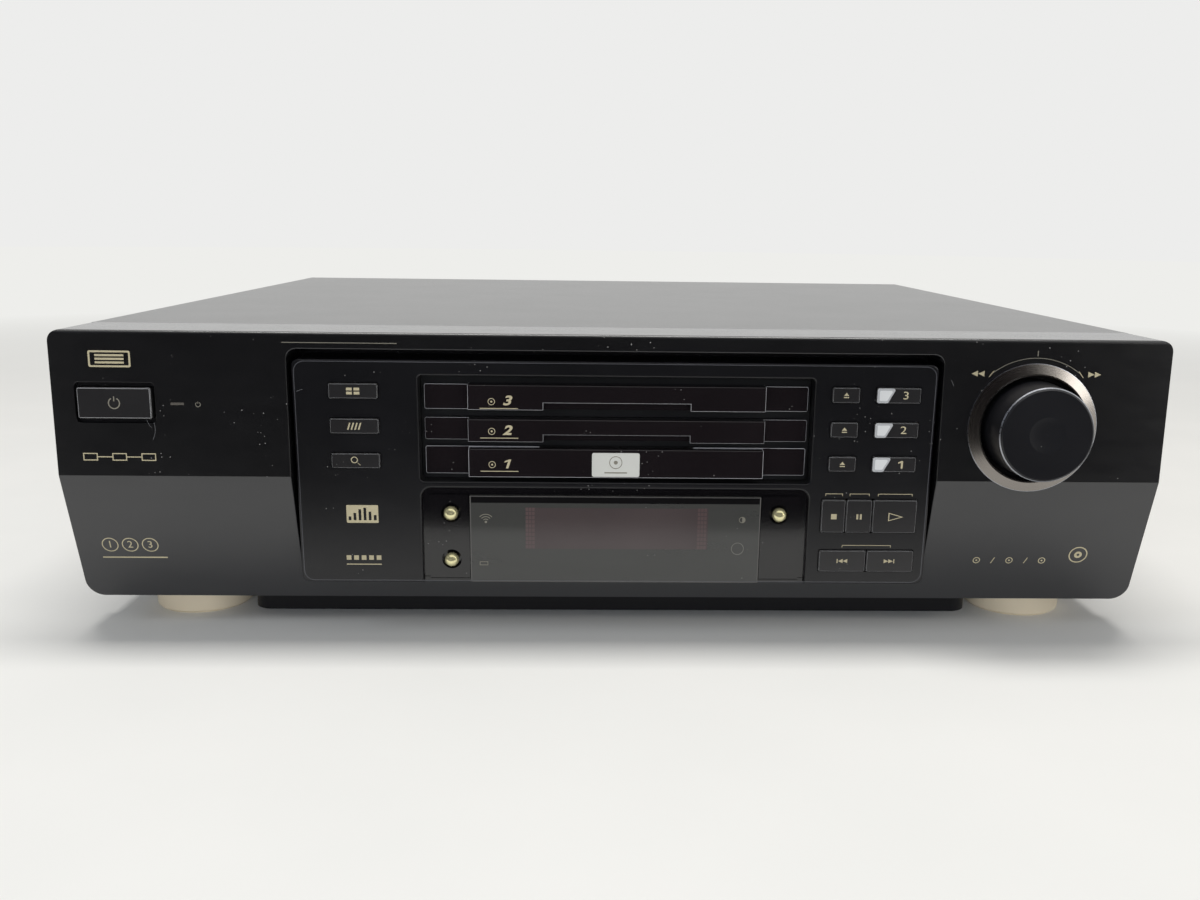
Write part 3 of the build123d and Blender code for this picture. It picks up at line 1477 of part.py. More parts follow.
# Supply board with its transformer, capacitors and finned sink
with BuildPart() as power_supply:
    with BuildSketch(level(board_z)):
        with Locations(((supply_left + supply_right) / 2, (supply_near + supply_far) / 2)):
            Rectangle(supply_right - supply_left, supply_far - supply_near)
    extrude(amount=board_thick)
    with BuildSketch(level(board_z)):
        with Locations(*supply_floor_posts):
            Circle(post_radius)
    extrude(amount=-(board_z - floor_top_z))
    with BuildSketch(level(board_z)):
        with Locations(*supply_tub_posts):
            Circle(post_radius)
    extrude(amount=-(board_z - tub_top_z))
    with BuildSketch(level(board_top_z)):
        with Locations(transformer_place):
            Rectangle(transformer_width, transformer_length)
    extrude(amount=transformer_height)
    with BuildSketch(level(board_top_z + transformer_height / 4)):
        with Locations(transformer_place):
            RectangleRounded(transformer_width * 0.7, transformer_length + 12, 4)
    extrude(amount=transformer_height / 2)
    with BuildSketch(level(board_top_z)):
        with Locations(*capacitor_places):
            Circle(capacitor_radius)
    extrude(amount=capacitor_height)
    with BuildSketch(level(board_top_z)):
        with Locations(heat_sink_place):
            Rectangle(2, heat_sink_length)
            with GridLocations(1, heat_sink_pitch, 1, heat_sink_fins):
                Rectangle(heat_sink_width, 1.5)
    extrude(amount=heat_sink_height)
keep(power_supply, "power_supply")
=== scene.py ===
import json
import math
import random

import bmesh
import bpy
from mathutils import Matrix, Vector


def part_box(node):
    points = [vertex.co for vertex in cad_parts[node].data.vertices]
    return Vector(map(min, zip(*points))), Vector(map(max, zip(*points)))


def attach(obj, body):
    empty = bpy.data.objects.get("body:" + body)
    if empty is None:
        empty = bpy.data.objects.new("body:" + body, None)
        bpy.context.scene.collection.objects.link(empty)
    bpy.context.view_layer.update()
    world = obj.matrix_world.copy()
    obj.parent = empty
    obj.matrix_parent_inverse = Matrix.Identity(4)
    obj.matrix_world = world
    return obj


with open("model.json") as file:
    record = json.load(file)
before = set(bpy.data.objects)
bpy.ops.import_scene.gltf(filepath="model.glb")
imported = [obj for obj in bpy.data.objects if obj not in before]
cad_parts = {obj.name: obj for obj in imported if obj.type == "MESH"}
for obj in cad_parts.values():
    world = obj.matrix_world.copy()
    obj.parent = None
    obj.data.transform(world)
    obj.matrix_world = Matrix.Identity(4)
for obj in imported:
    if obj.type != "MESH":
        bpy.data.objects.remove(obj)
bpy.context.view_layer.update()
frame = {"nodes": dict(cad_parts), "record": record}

# Sizes are millimetres unless a comment says metres. A place is x to the right and z above the table
MM = 0.001
FRONT_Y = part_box("front_panel")[0].y
REAR_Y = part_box("rear_panel")[1].y

# The front has an upright face, a chin below its fold, and a middle face that leans back
FOLD_Z = 67.2
CHIN_TILT = math.atan(17.1 / 54.7)
FACE_TOP_Z = 113.6
FACE_TOP_DEPTH = 0.93
FACE_TILT = math.radians(2.38)

# How far the keys stand out of the face around them, and how far the doors and balls lie behind it
KEY_PROUD = 0.9
POWER_KEY_PROUD = 1.0
DOOR_SINK = 0.4
BALL_SINK = 1.0

# Thickness of what is laid on a surface, and the gap that keeps it off that surface
PRINT_THICK = 0.03
PLATE_THICK = 0.12
LENS_THICK = 0.12
INLAY_THICK = 0.02
FILM_THICK = 0.01
SCRATCH_THICK = 0.006
LAY_GAP = 0.004

# Places on the front. Rows and numbers count from the lowest
DIAL = (164.1, 89.0)
BALLS = ((-66.0, 51.7), (-66.0, 32.2), (66.0, 51.7))
KEY_ROWS = (73.45, 87.4, 101.35)
DOOR_ROWS = (71.9, 85.4, 97.3)
PLAY_ROW = 51.7
SKIP_ROW = 32.9
EFFECT_KEY_X = -102.55
EJECT_KEY_X = 89.9
DISC_KEY_X = 110.65

# Depth in metres of grain and marks that only shade a surface
MOULD_GRAIN = 0.00001
GLASS_WAVES = 0.00001
DRAWN_MARKS = 0.000003
TURNED_RINGS = 0.000004

# Upward part of a face's normal, from where it begins to count as looking down or up to where it does
LOOKS_DOWN = (-0.2, -0.28)
LOOKS_UP = (0.8, 0.95)

# Middle share of a noise's values, which holds nearly all of them
NOISE_RANGE = (0.3, 0.7)

# Camera solved from the photograph: place, yaw to the right, pitch down, and a slight roll
CAMERA_PLACE = (-10.65, -433.51, 167.14)
CAMERA_YAW = 0.029034
CAMERA_PITCH = 0.200643
CAMERA_ROLL = 0.013338
FOCAL_PIXELS = 1125.25
CENTRE_PIXEL = 621.70
PHOTO_WIDTH = 1200.0
SENSOR_WIDTH = 36.0

# Share of the world's light that falls on the part. The rest of it is only seen
WORLD_LIGHT = 0.36


# Objects and places
def add_object(name, data):
    """New object in the scene."""
    thing = bpy.data.objects.new(name, data)
    bpy.context.scene.collection.objects.link(thing)
    return thing


def evaluated_mesh(source):
    """New mesh of an object, as its curve or its modifiers make it."""
    bpy.context.view_layer.update()
    return bpy.data.meshes.new_from_object(source.evaluated_get(bpy.context.evaluated_depsgraph_get()))


def axes(right, up, out, point):
    """Matrix with these axes at a point in metres."""
    matrix = Matrix((right, up, out)).transposed().to_4x4()
    matrix.translation = point
    return matrix


def place(x, z, tilt=0.0, depth=0.0, proud=0.0):
    """Matrix of a point on a front surface: X to the right, Y up the surface and Z outwards."""
    c, s = math.cos(tilt), math.sin(tilt)
    normal = Vector((0, -c, -s))
    point = Vector((x * MM, FRONT_Y + depth * MM, z * MM)) + normal * proud * MM
    return axes(Vector((1, 0, 0)), Vector((0, -s, c)), normal, point)


def on_upright(x, z, proud=0.0):
    return place(x, z, proud=proud)


def on_chin(x, z):
    return place(x, z, CHIN_TILT, (FOLD_Z - z) * math.tan(CHIN_TILT))


def on_face(x, z, proud=0.0):
    return place(x, z, FACE_TILT, FACE_TOP_DEPTH + (FACE_TOP_Z - z) * math.tan(FACE_TILT), proud)


def stand(point, normal, turn=0.0):
    """Matrix of a point in metres whose Z looks along the normal, turned about it by this angle."""
    out = Vector(normal)
    right = Vector((0, 0, 1)).cross(out).normalized()
    return axes(right, out.cross(right), out, point) @ Matrix.Rotation(turn, 4, "Z")


def on_rear(x, z):
    return stand((x * MM, REAR_Y, z * MM), (0, 1, 0))


# Materials
def linear(*levels):
    """Colour given as eight-bit display levels, as linear values with alpha."""
    values = []
    for level in levels:
        c = level / 255
        values.append(c / 12.92 if c <= 0.04045 else ((c + 0.055) / 1.055) ** 2.4)
    return (*values, 1.0)


def shades(colour, spread):
    """A darker and a lighter shade of a colour."""
    dark = tuple(c * (1 - spread) for c in colour[:3]) + (1.0,)
    light = tuple(min(1.0, c * (1 + spread)) for c in colour[:3]) + (1.0,)
    return dark, light


class Tree:
    """Node tree of a material or a world. Its methods take an output of a node or a plain value."""

    def __init__(self, owner):
        owner.use_nodes = True
        self.nodes = owner.node_tree.nodes
        self.links = owner.node_tree.links

    def feed(self, socket, value):
        """Links an input to an output, or sets it to a plain value."""
        if isinstance(value, bpy.types.NodeSocket):
            self.links.new(value, socket)
        else:
            socket.default_value = value

    def add(self, kind, inputs=(), **settings):
        """New node of a kind, with its settings, and with its inputs fed from pairs of a key and a value."""
        node = self.nodes.new("ShaderNode" + kind)
        for name, setting in settings.items():
            setattr(node, name, setting)
        for key, value in dict(inputs).items():
            self.feed(node.inputs[key], value)
        return node

    def ramp(self, value, low, high, start=0.0, end=1.0):
        """Values of start to end as values of low to high."""
        limits = {"From Min": start, "From Max": end, "To Min": low, "To Max": high}
        return self.add("MapRange", {"Value": value, **limits}).outputs["Result"]

    def blend(self, factor, first, second):
        """Mix of two colours."""
        inputs = {"Factor": factor, "A": first, "B": second}
        return self.add("Mix", inputs, data_type="RGBA").outputs["Result"]

    def number(self, operation, *values):
        """Result of an operation on one or two numbers."""
        return self.add("Math", enumerate(values), operation=operation).outputs["Value"]

    def vector(self, operation, *values):
        """Result of an operation on one or two vectors."""
        node = self.add("VectorMath", enumerate(values), operation=operation)
        return node.outputs["Value" if operation == "LENGTH" else "Vector"]

    def parts(self, vector):
        """The x, y and z of a vector."""
        return self.add("SeparateXYZ", {"Vector": vector}).outputs

    def glow(self, colour):
        """Plain light of this colour."""
        return self.add("Emission", {"Color": colour}).outputs["Emission"]

    def surface(self, shader):
        """Makes a shader the surface of the material."""
        self.links.new(shader, self.nodes["Material Output"].inputs["Surface"])


class Finish(Tree):
    """New material in the making. The scales of its textures are waves to the metre."""

    def __init__(self, name):
        self.material = bpy.data.materials.new(name)
        super().__init__(self.material)
        self.shader = self.nodes["Principled BSDF"]
        self.coords = self.add("TexCoord").outputs["Object"]

    def set(self, **inputs):
        """Feeds inputs of the shader, named with _ in the place of spaces."""
        for name, value in inputs.items():
            self.feed(self.shader.inputs[name.replace("_", " ")], value)

    def noise(self, scale, detail=2.0, stretch=(1.0, 1.0, 1.0)):
        mapped = self.add("Mapping", {"Vector": self.coords, "Scale": stretch}).outputs["Vector"]
        inputs = {"Vector": mapped, "Scale": scale, "Detail": detail}
        return self.add("TexNoise", inputs).outputs["Fac"]

    def cells(self, scale, feature="F1"):
        inputs = {"Vector": self.coords, "Scale": scale}
        return self.add("TexVoronoi", inputs, feature=feature).outputs["Distance"]

    def gloss(self, value, roughness, spread):
        """Roughness that a texture changes by this share of it to both sides."""
        low, high = roughness * (1 - spread), roughness * (1 + spread)
        self.set(Roughness=self.ramp(value, low, high, *NOISE_RANGE))

    def bump(self, height, distance):
        node = self.add("Bump", {"Height": height, "Distance": distance, "Strength": 1.0})
        self.set(Normal=node.outputs["Normal"])

    def specks(self, tone, amount):
        """Sparse specks of dust over a tone."""
        near = self.ramp(self.cells(480.0), 1.0, 0.0, 0.07, 0.12)
        sparse = self.ramp(self.noise(60.0), 0.0, amount, 0.58, 0.64)
        return self.blend(self.number("MULTIPLY", near, sparse), tone, linear(170, 168, 164))


def moulded(name, colour, roughness, grain=6000.0, spread=0.12, dust=0.0, specular=0.5, coat=0.0):
    """Moulded plastic: a fine grain, slow changes of tone and gloss, and specks of dust."""
    finish = Finish(name)
    slow = finish.ramp(finish.noise(24.0, 3.0), 0.0, 1.0, 0.35, 0.65)
    tone = finish.blend(slow, *shades(colour, spread))
    if dust:
        tone = finish.specks(tone, dust)
    finish.set(Base_Color=tone, Specular_IOR_Level=specular, Coat_Weight=coat, Coat_Roughness=0.06)
    finish.gloss(finish.noise(70.0, 4.0, (1.0, 1.0, 3.0)), roughness, 0.08)
    finish.bump(finish.noise(grain), MOULD_GRAIN)
    return finish.material


def finish_by_side(material, painted_reflection_colour, smooth):
    """Gives faces that look down this colour, a painted reflection of the table under them, and faces that
    look up this share of their roughness.
    """
    tree = Tree(material)
    inputs = tree.nodes["Principled BSDF"].inputs
    colour, roughness = inputs["Base Color"], inputs["Roughness"]
    upward = tree.parts(tree.add("NewGeometry").outputs["True Normal"])["Z"]
    down = tree.ramp(upward, 0.0, 1.0, *LOOKS_DOWN)
    share = tree.ramp(upward, 1.0, smooth, *LOOKS_UP)
    # Painted reflection: faces that look down take the lighter colour
    tree.feed(colour, tree.blend(down, colour.links[0].from_socket, painted_reflection_colour))
    tree.feed(roughness, tree.number("MULTIPLY", roughness.links[0].from_socket, share))


def painted(name, colour, roughness, grain, depth, spread=0.2, specular=0.5):
    """Textured paint on sheet steel."""
    finish = Finish(name)
    fine = finish.noise(grain * 2.2, 3.0)
    finish.set(Base_Color=finish.blend(fine, *shades(colour, spread)), Specular_IOR_Level=specular)
    finish.gloss(finish.noise(30.0, 4.0), roughness, 0.03)
    finish.bump(finish.number("ADD", finish.cells(grain, "SMOOTH_F1"), fine), depth)
    return finish.material


def metal(name, colour, roughness, stretch=(1.0, 1.0, 1.0), metallic=1.0):
    """Bare metal with fine drawn marks."""
    finish = Finish(name)
    marks = finish.noise(900.0, 3.0, stretch)
    finish.set(Metallic=metallic, Base_Color=finish.blend(marks, *shades(colour, 0.08)))
    finish.gloss(marks, roughness, 0.2)
    finish.bump(marks, DRAWN_MARKS)
    return finish.material


def turned_metal(name, colour, roughness, centre):
    """Metal turned on a lathe: fine rings about an axis along Y through this x and z."""
    finish = Finish(name)
    apart = finish.vector("SUBTRACT", finish.coords, (centre[0] * MM, 0, centre[1] * MM))
    flat = finish.vector("MULTIPLY", apart, (1, 0, 1))
    inputs = {"W": finish.vector("LENGTH", flat), "Scale": 5000.0}
    marks = finish.add("TexNoise", inputs, noise_dimensions="1D").outputs["Fac"]
    finish.set(Metallic=1.0, Anisotropic=0.6, Base_Color=finish.blend(marks, *shades(colour, 0.08)))
    finish.set(Tangent=finish.vector("NORMALIZE", finish.vector("CROSS_PRODUCT", flat, (0, 1, 0))))
    finish.gloss(marks, roughness, 0.15)
    finish.bump(marks, TURNED_RINGS)
    return finish.material


def smoked_glass(name, colour, clear):
    """Smoked window: a glossy tinted sheet that lets this share of the light through."""
    finish = Finish(name)
    smear = finish.noise(35.0, 4.0, (1.0, 1.0, 4.0))
    tone = finish.blend(smear, *shades(colour, 0.08))
    finish.set(Base_Color=finish.specks(tone, 0.5), Alpha=1 - clear)
    finish.gloss(smear, 0.1, 0.2)
    finish.bump(finish.noise(18.0), GLASS_WAVES)
    return finish.material


def door_edge(name, bright, dim):
    """Edge of a door: light where it frames the face, a painted highlight, and dark on what stands behind
    it, a painted shade.
    """
    finish = Finish(name)
    along = finish.parts(finish.coords)
    inside = finish.ramp(finish.number("ABSOLUTE", along["X"]), 1.0, 0.0, 30.5 * MM, 31.0 * MM)
    behind = finish.ramp(along["Y"], 0.0, 1.0, FRONT_Y + 3.6 * MM, FRONT_Y + 4.0 * MM)
    # Painted shade on the edges that stand behind the face, painted highlight on the rest
    finish.set(Base_Color=finish.blend(finish.number("MULTIPLY", inside, behind), bright, dim))
    finish.set(Roughness=finish.ramp(finish.noise(400.0, 3.0), 0.25, 0.4, *NOISE_RANGE))
    return finish.material


MATERIALS = {
    "front": moulded("front_moulding", linear(14, 14, 16), 0.32, dust=0.9, specular=0.82),
    "centre": moulded("centre_moulding", linear(16, 16, 19), 0.32, dust=0.6, specular=0.55),
    # Door bevels: a painted highlight, with painted shade on those behind the face
    "edge": door_edge("door_edge", linear(170, 170, 173), linear(14, 14, 14)),
    # Pale line round the centre panel: a painted highlight of its rounded edge
    "painted_edge_highlight": moulded("painted_edge_highlight", linear(78, 78, 82), 0.25),
    "scratch": moulded("scratch_line", linear(118, 118, 120), 0.4),
    "key": moulded("key_moulding", linear(35, 34, 35), 0.3, grain=5000.0, dust=0.2),
    # Pale colour of the keys' bevels: a painted highlight
    "key_edge_highlight": moulded("key_edge_highlight", linear(160, 160, 161), 0.3),
    # Door colour: black, lifted and tinted reddish as a painted reflection of the room
    "door": moulded("door_moulding", linear(23, 19, 21), 0.14, dust=0.6, coat=0.2),
    "cheek": moulded("cheek_moulding", linear(15, 14, 16), 0.1, dust=0.4, specular=0.6, coat=0.25),
    "inner": moulded("inner_moulding", linear(30, 30, 31), 0.5, grain=3000.0),
    "carrier": moulded("carrier_moulding", linear(52, 52, 54), 0.45, grain=4000.0),
    "gear": moulded("gear_moulding", linear(225, 222, 208), 0.4, spread=0.05),
    "foot": moulded("foot_moulding", linear(222, 208, 182), 0.42, grain=2500.0, spread=0.04),
    "lens": moulded("lens_moulding", linear(168, 169, 171), 0.25, grain=900.0, spread=0.05),
    "lens_core": moulded("lens_core", linear(206, 207, 207), 0.25, grain=900.0, spread=0.05),
    "lamp": moulded("lamp_moulding", linear(84, 80, 74), 0.3),
    "knob": moulded("knob_moulding", linear(24, 24, 27), 0.3, dust=0.6),
    "jack": moulded("jack_moulding", linear(20, 20, 20), 0.4),
    "jack_yellow": moulded("jack_yellow", linear(214, 170, 30), 0.4, spread=0.06),
    "jack_white": moulded("jack_white", linear(214, 212, 206), 0.4, spread=0.04),
    "jack_red": moulded("jack_red", linear(168, 30, 28), 0.4, spread=0.08),
    "phenolic": moulded("phenolic_board", linear(158, 120, 70), 0.55),
    "epoxy": moulded("epoxy_board", linear(30, 92, 48), 0.4, spread=0.2),
    "print": moulded("printed_gold", linear(176, 166, 136), 0.45, spread=0.1),
    "print_dim": moulded("printed_grey", linear(120, 116, 104), 0.45, spread=0.1),
    "print_faint": moulded("printed_faint", linear(104, 102, 96), 0.3, spread=0.1),
    "plate": moulded("blank_plate", linear(196, 196, 190), 0.3, spread=0.05, coat=0.3),
    "filter": moulded("display_filter", linear(70, 62, 62), 0.12, spread=0.08),
    "segment": moulded("display_segment", linear(84, 70, 70), 0.12, spread=0.1),
    "window_band": moulded("window_band", linear(10, 9, 11), 0.5, specular=0.1),
    # Pale colour of the window's bevels: a painted highlight
    "window_edge_highlight": moulded("window_edge_highlight", linear(88, 86, 84), 0.2),
    "cover": painted("cover_paint", linear(86, 86, 86), 0.29, 1300.0, 0.00006, spread=0.3, specular=0.9),
    "chassis": painted("chassis_plating", linear(9, 9, 13), 0.4, 2500.0, 0.00002, specular=0.25),
    "rear": painted("rear_paint", linear(40, 40, 41), 0.5, 1800.0, 0.00004),
    "steel": metal("drawn_steel", linear(176, 176, 180), 0.22, (1.0, 0.1, 1.0)),
    "nickel": metal("plated_nickel", linear(196, 192, 184), 0.18),
    "screw": metal("black_screw", linear(70, 70, 72), 0.32),
    "gold": metal("polished_gold", linear(255, 242, 190), 0.18, metallic=0.75),
    "rim": metal("polished_rim", linear(176, 178, 184), 0.3),
    "ring": turned_metal("turned_ring", linear(146, 141, 136), 0.24, DIAL),
    "window": smoked_glass("smoked_window", linear(66, 66, 64), 0.1),
    "tube": smoked_glass("tube_glass", linear(50, 54, 54), 0.3),
}
# The front's faces that look down, the chin, get a lighter colour as a painted reflection of the pale table
finish_by_side(MATERIALS["front"], linear(38, 38, 40), 0.45)

# Material of each node, named without its number or corner. A node without a row is a key
NODE_MATERIALS = {
    "front_panel": "front",
    "centre_panel": "centre",
    "tray_bezel": "inner",
    "top_cover": "cover",
    "base_chassis": "chassis",
    "rear_panel": "rear",
    "display_cheeks": "cheek",
    "display_window": "window",
    "display_tube": "tube",
    "shuttle_ring": "ring",
    "shuttle_knob": "knob",
    "standby_lamp": "lamp",
    "mechanism_frame": "inner",
    "pinion_spindle": "steel",
    "lift_rods": "steel",
    "sled_rods": "steel",
    "disc_motor": "steel",
    "loading_motor": "steel",
    "lift_carriage": "inner",
    "turntable": "inner",
    "pickup_sled": "inner",
    "front_board": "phenolic",
    "power_supply": "phenolic",
    "main_board": "epoxy",
    "av_jacks": "jack",
    "ac_inlet": "jack",
    "tray_front": "door",
    "tray_pinion": "gear",
    "tray": "inner",
    "disc_carrier": "carrier",
    "ball_button": "gold",
    "foot": "foot",
}


def base_name(node_name):
    """Node name without its number or corner."""
    if node_name in NODE_MATERIALS:
        return node_name
    if node_name.startswith("foot"):
        return "foot"
    return node_name.rsplit("_", 1)[0]


for node_name, node in frame["nodes"].items():
    kind = NODE_MATERIALS.get(base_name(node_name), "key")
    node.data.materials.clear()
    node.data.materials.append(MATERIALS[kind])


# Rounded edges, coloured lighter as a painted highlight where light catches them
def catch_edges(node_name, width, material):
    """Bevels the sharp edges of a node, with a material of their own."""
    node = frame["nodes"][node_name]
    node.data.materials.append(MATERIALS[material])
    weld = node.modifiers.new("weld", "WELD")
    weld.merge_threshold = 0.000001
    flat = node.modifiers.new("flat", "DECIMATE")
    flat.decimate_type = "DISSOLVE"
    flat.angle_limit = math.radians(0.5)
    bevel = node.modifiers.new("bevel", "BEVEL")
    bevel.width = width * MM
    bevel.segments = 2
    bevel.limit_method = "ANGLE"
    bevel.angle_limit = math.radians(35)
    bevel.material = 1
    even = node.modifiers.new("even", "WEIGHTED_NORMAL")
    even.weight = 100
    even.keep_sharp = False


for node_name in frame["nodes"]:
    if node_name.startswith("tray_front"):
        catch_edges(node_name, 0.2, "edge")
    elif node_name == "display_window":
        catch_edges(node_name, 0.2, "window_edge_highlight")
    elif "_button" in node_name and not node_name.startswith("ball"):
        catch_edges(node_name, 0.16, "key_edge_highlight")


# Pieces
def add_piece(name, mesh, matrix, body, material):
    """Piece made of a mesh in the frame of its place, which rides on a body."""
    mesh.transform(matrix)
    mesh.materials.clear()
    mesh.materials.append(MATERIALS[material])
    piece = add_object(name, mesh)
    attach(piece, body)
    return piece


def add_flat(name, curve, matrix, body, material, thick):
    """Piece made of a flat curve or text, standing on its surface."""
    source = add_object(name + "_outline", curve)
    mesh = evaluated_mesh(source)
    bpy.data.objects.remove(source)
    mesh.transform(Matrix.Translation((0, 0, (thick / 2 + LAY_GAP) * MM)))
    return add_piece(name, mesh, matrix, body, material)


def flat_piece(name, outlines, matrix, body, material, thick=PRINT_THICK):
    """Thin piece of closed outlines in millimetres. An outline inside another is a hole."""
    curve = bpy.data.curves.new(name, "CURVE")
    curve.dimensions = "2D"
    curve.fill_mode = "BOTH"
    curve.extrude = thick / 2 * MM
    for points in outlines:
        spline = curve.splines.new("POLY")
        spline.points.add(len(points) - 1)
        for target, (x, y) in zip(spline.points, points):
            target.co = (x * MM, y * MM, 0, 1)
        spline.use_cyclic_u = True
    return add_flat(name, curve, matrix, body, material, thick)


def case_print(name, outlines, matrix, material="print"):
    """Print on the case, which stays where it is."""
    return flat_piece(name, outlines, matrix, "case", material)


def number_print(name, number, size, matrix, body, shear=0.0, weight=0.0, wide=1.0):
    """Printed number, centred on its place and drawn out sideways by this share."""
    curve = bpy.data.curves.new(name, "FONT")
    curve.body = str(number)
    curve.size = size * MM
    curve.shear = shear
    curve.align_x = "CENTER"
    curve.align_y = "CENTER"
    curve.offset = weight * MM
    curve.extrude = PRINT_THICK / 2 * MM
    return add_flat(name, curve, matrix @ Matrix.Scale(wide, 4, (1, 0, 0)), body, "print", PRINT_THICK)


def flagged_number(name, number, size, matrix, body, shear=0.0, weight=0.0, wide=1.0):
    """Printed number of one figure. A one is drawn here, because the font's has no flag."""
    if number != 1:
        return number_print(name, number, size, matrix, body, shear, weight, wide)
    shape = ((0.14, -0.35), (0.14, 0.35), (0.0, 0.35), (-0.2, 0.22), (-0.2, 0.1), (0.0, 0.2), (0.0, -0.35))
    outline = [((x + y * shear) * size * wide, y * size) for x, y in shape]
    return flat_piece(name, [outline], matrix, body, "print")


def turned_mesh(name, profile, steps):
    """Mesh turned about Z from a closed profile of radius and height in millimetres."""
    shape = bmesh.new()
    rows = []
    for radius, height in profile:
        row = []
        for step in range(steps if radius else 1):
            angle = 2 * math.pi * step / steps
            point = (radius * math.cos(angle) * MM, radius * math.sin(angle) * MM, height * MM)
            row.append(shape.verts.new(point))
        rows.append(row)
    for low, high in zip(rows, rows[1:] + rows[:1]):
        for step in range(steps):
            after = (step + 1) % steps
            around = ((low, step), (low, after), (high, after), (high, step))
            corners = list(dict.fromkeys(row[at % len(row)] for row, at in around))
            if len(corners) > 2:
                shape.faces.new(corners)
    bmesh.ops.recalc_face_normals(shape, faces=shape.faces)
    for face in shape.faces:
        face.smooth = True
    mesh = bpy.data.meshes.new(name)
    shape.to_mesh(mesh)
    shape.free()
    mesh.set_sharp_from_angle(angle=math.radians(28))
    return mesh


def turned_piece(name, profile, matrix, body, material, steps):
    return add_piece(name, turned_mesh(name, profile, steps), matrix, body, material)


# Outlines of the printed marks
def rectangle(x, y, width, height):
    a, b = width / 2, height / 2
    return [(x - a, y - b), (x + a, y - b), (x + a, y + b), (x - a, y + b)]


def arc_points(x, y, radius, start, end, steps):
    """Points along an arc, from the start to the end angle in degrees."""
    angles = [math.radians(start + (end - start) * s / steps) for s in range(steps + 1)]
    return [(x + radius * math.cos(angle), y + radius * math.sin(angle)) for angle in angles]


def rounded(x, y, width, height, radius):
    """Rectangle with round corners."""
    points = []
    for turn, (sx, sy) in enumerate(((1, 1), (-1, 1), (-1, -1), (1, -1))):
        middle_x = x + sx * (width / 2 - radius)
        middle_y = y + sy * (height / 2 - radius)
        points += arc_points(middle_x, middle_y, radius, 90 * turn, 90 * turn + 90, 6)
    return points


def circle(x, y, radius, steps=40):
    return arc_points(x, y, radius, 0, 360, steps)[:-1]


def rings(*radii, y=0.0):
    """Circles about one middle, so that every second space between them is filled."""
    return [circle(0, y, radius) for radius in radii]


def band(x, y, radius, width, start, end, steps=40):
    """Band along an arc, from the start to the end angle in degrees."""
    outer = arc_points(x, y, radius + width / 2, start, end, steps)
    inner = arc_points(x, y, radius - width / 2, start, end, steps)
    return outer + inner[::-1]


def triangle(x, y, width, height, side=1):
    """Triangle with its box centred here and its point to the right, or to the left for side -1."""
    base, tip = x - side * width / 2, x + side * width / 2
    return [(base, y - height / 2), (tip, y), (base, y + height / 2)]


def slanted(x, width, height, lean):
    """Upright bar from this x of its lower left corner, whose top leans to the right."""
    low, high = -height / 2, height / 2
    return [(x, low), (x + width, low), (x + lean + width, high), (x + lean, high)]


def bracket(width):
    """Printed line over a key, with both ends turned down."""
    drop, line = 0.8, 0.22
    outer, inner = width / 2, width / 2 - line
    left = [(-outer, -drop), (-inner, -drop), (-inner, 0)]
    right = [(-x, y) for x, y in left[::-1]]
    return left + right + [(outer, line), (-outer, line)]


def standby_symbol(radius, line):
    """Broken ring with a bar, as on any power key."""
    return [band(0, 0, radius, line, 120, 420), rectangle(0, radius * 0.8, line, radius * 0.9)]


def lens_outline(left, height, top, bottom, corner=0.8):
    """Outline of a lens at the left end of a key: round corners, and a right side that slants."""
    corners = (
        (left, -height / 2, 180, 90),
        (left + bottom, -height / 2, 270, 70),
        (left + top, height / 2, 340, 110),
        (left, height / 2, 90, 90),
    )
    points = []
    for x, y, start, sweep in corners:
        middle_x = x + (corner if start in (180, 90) else -corner)
        middle_y = y + (corner if start in (180, 270) else -corner)
        points += arc_points(middle_x, middle_y, corner, start, start + sweep, 5)
    return points


# Marks on the front
def row_marks():
    """Lenses, numbers and symbols on the keys beside the doors."""
    for number, z in enumerate(KEY_ROWS, 1):
        disc_key = f"disc_button_{number}"
        outline = [lens_outline(-8.6, 5.9, 6.95, 4.6)]
        matrix = on_face(DISC_KEY_X, z, KEY_PROUD)
        lens = flat_piece(f"lens_{number}", outline, matrix, disc_key, "lens", LENS_THICK)
        outline = [lens_outline(-7.7, 4.1, 5.0, 3.3, 0.5)]
        matrix = on_face(DISC_KEY_X, z, KEY_PROUD + LENS_THICK)
        flat_piece(f"lens_core_{number}", outline, matrix, disc_key, "lens_core", INLAY_THICK)
        marks = [[(-1.05, -0.2), (1.05, -0.2), (0, 1.1)], rectangle(0, -0.85, 2.1, 0.4)]
        matrix = on_face(EJECT_KEY_X, z, KEY_PROUD)
        flat_piece(f"eject_mark_{number}", marks, matrix, f"eject_button_{number}", "print")
        matrix = on_face(DISC_KEY_X + 2.75, z, KEY_PROUD)
        flagged_number(f"disc_number_{number}", number, 4.4, matrix, disc_key, wide=1.25)
    effects = (
        [circle(-0.5, 0.4, 1.35), circle(-0.5, 0.4, 1.0), band(0, 0, 1.75, 1.5, -48, -42, 1)],
        [slanted(x - 0.75, 0.6, 2.8, 0.9) for x in (-2.1, -0.7, 0.7, 2.1)],
        [rectangle(x, y, 2.2, 1.1) for x in (-1.45, 1.45) for y in (-0.8, 0.8)],
    )
    for number, (marks, z) in enumerate(zip(effects, KEY_ROWS), 1):
        matrix = on_face(EFFECT_KEY_X, z, KEY_PROUD)
        flat_piece(f"effect_mark_{number}", marks, matrix, f"effect_button_{number}", "print")


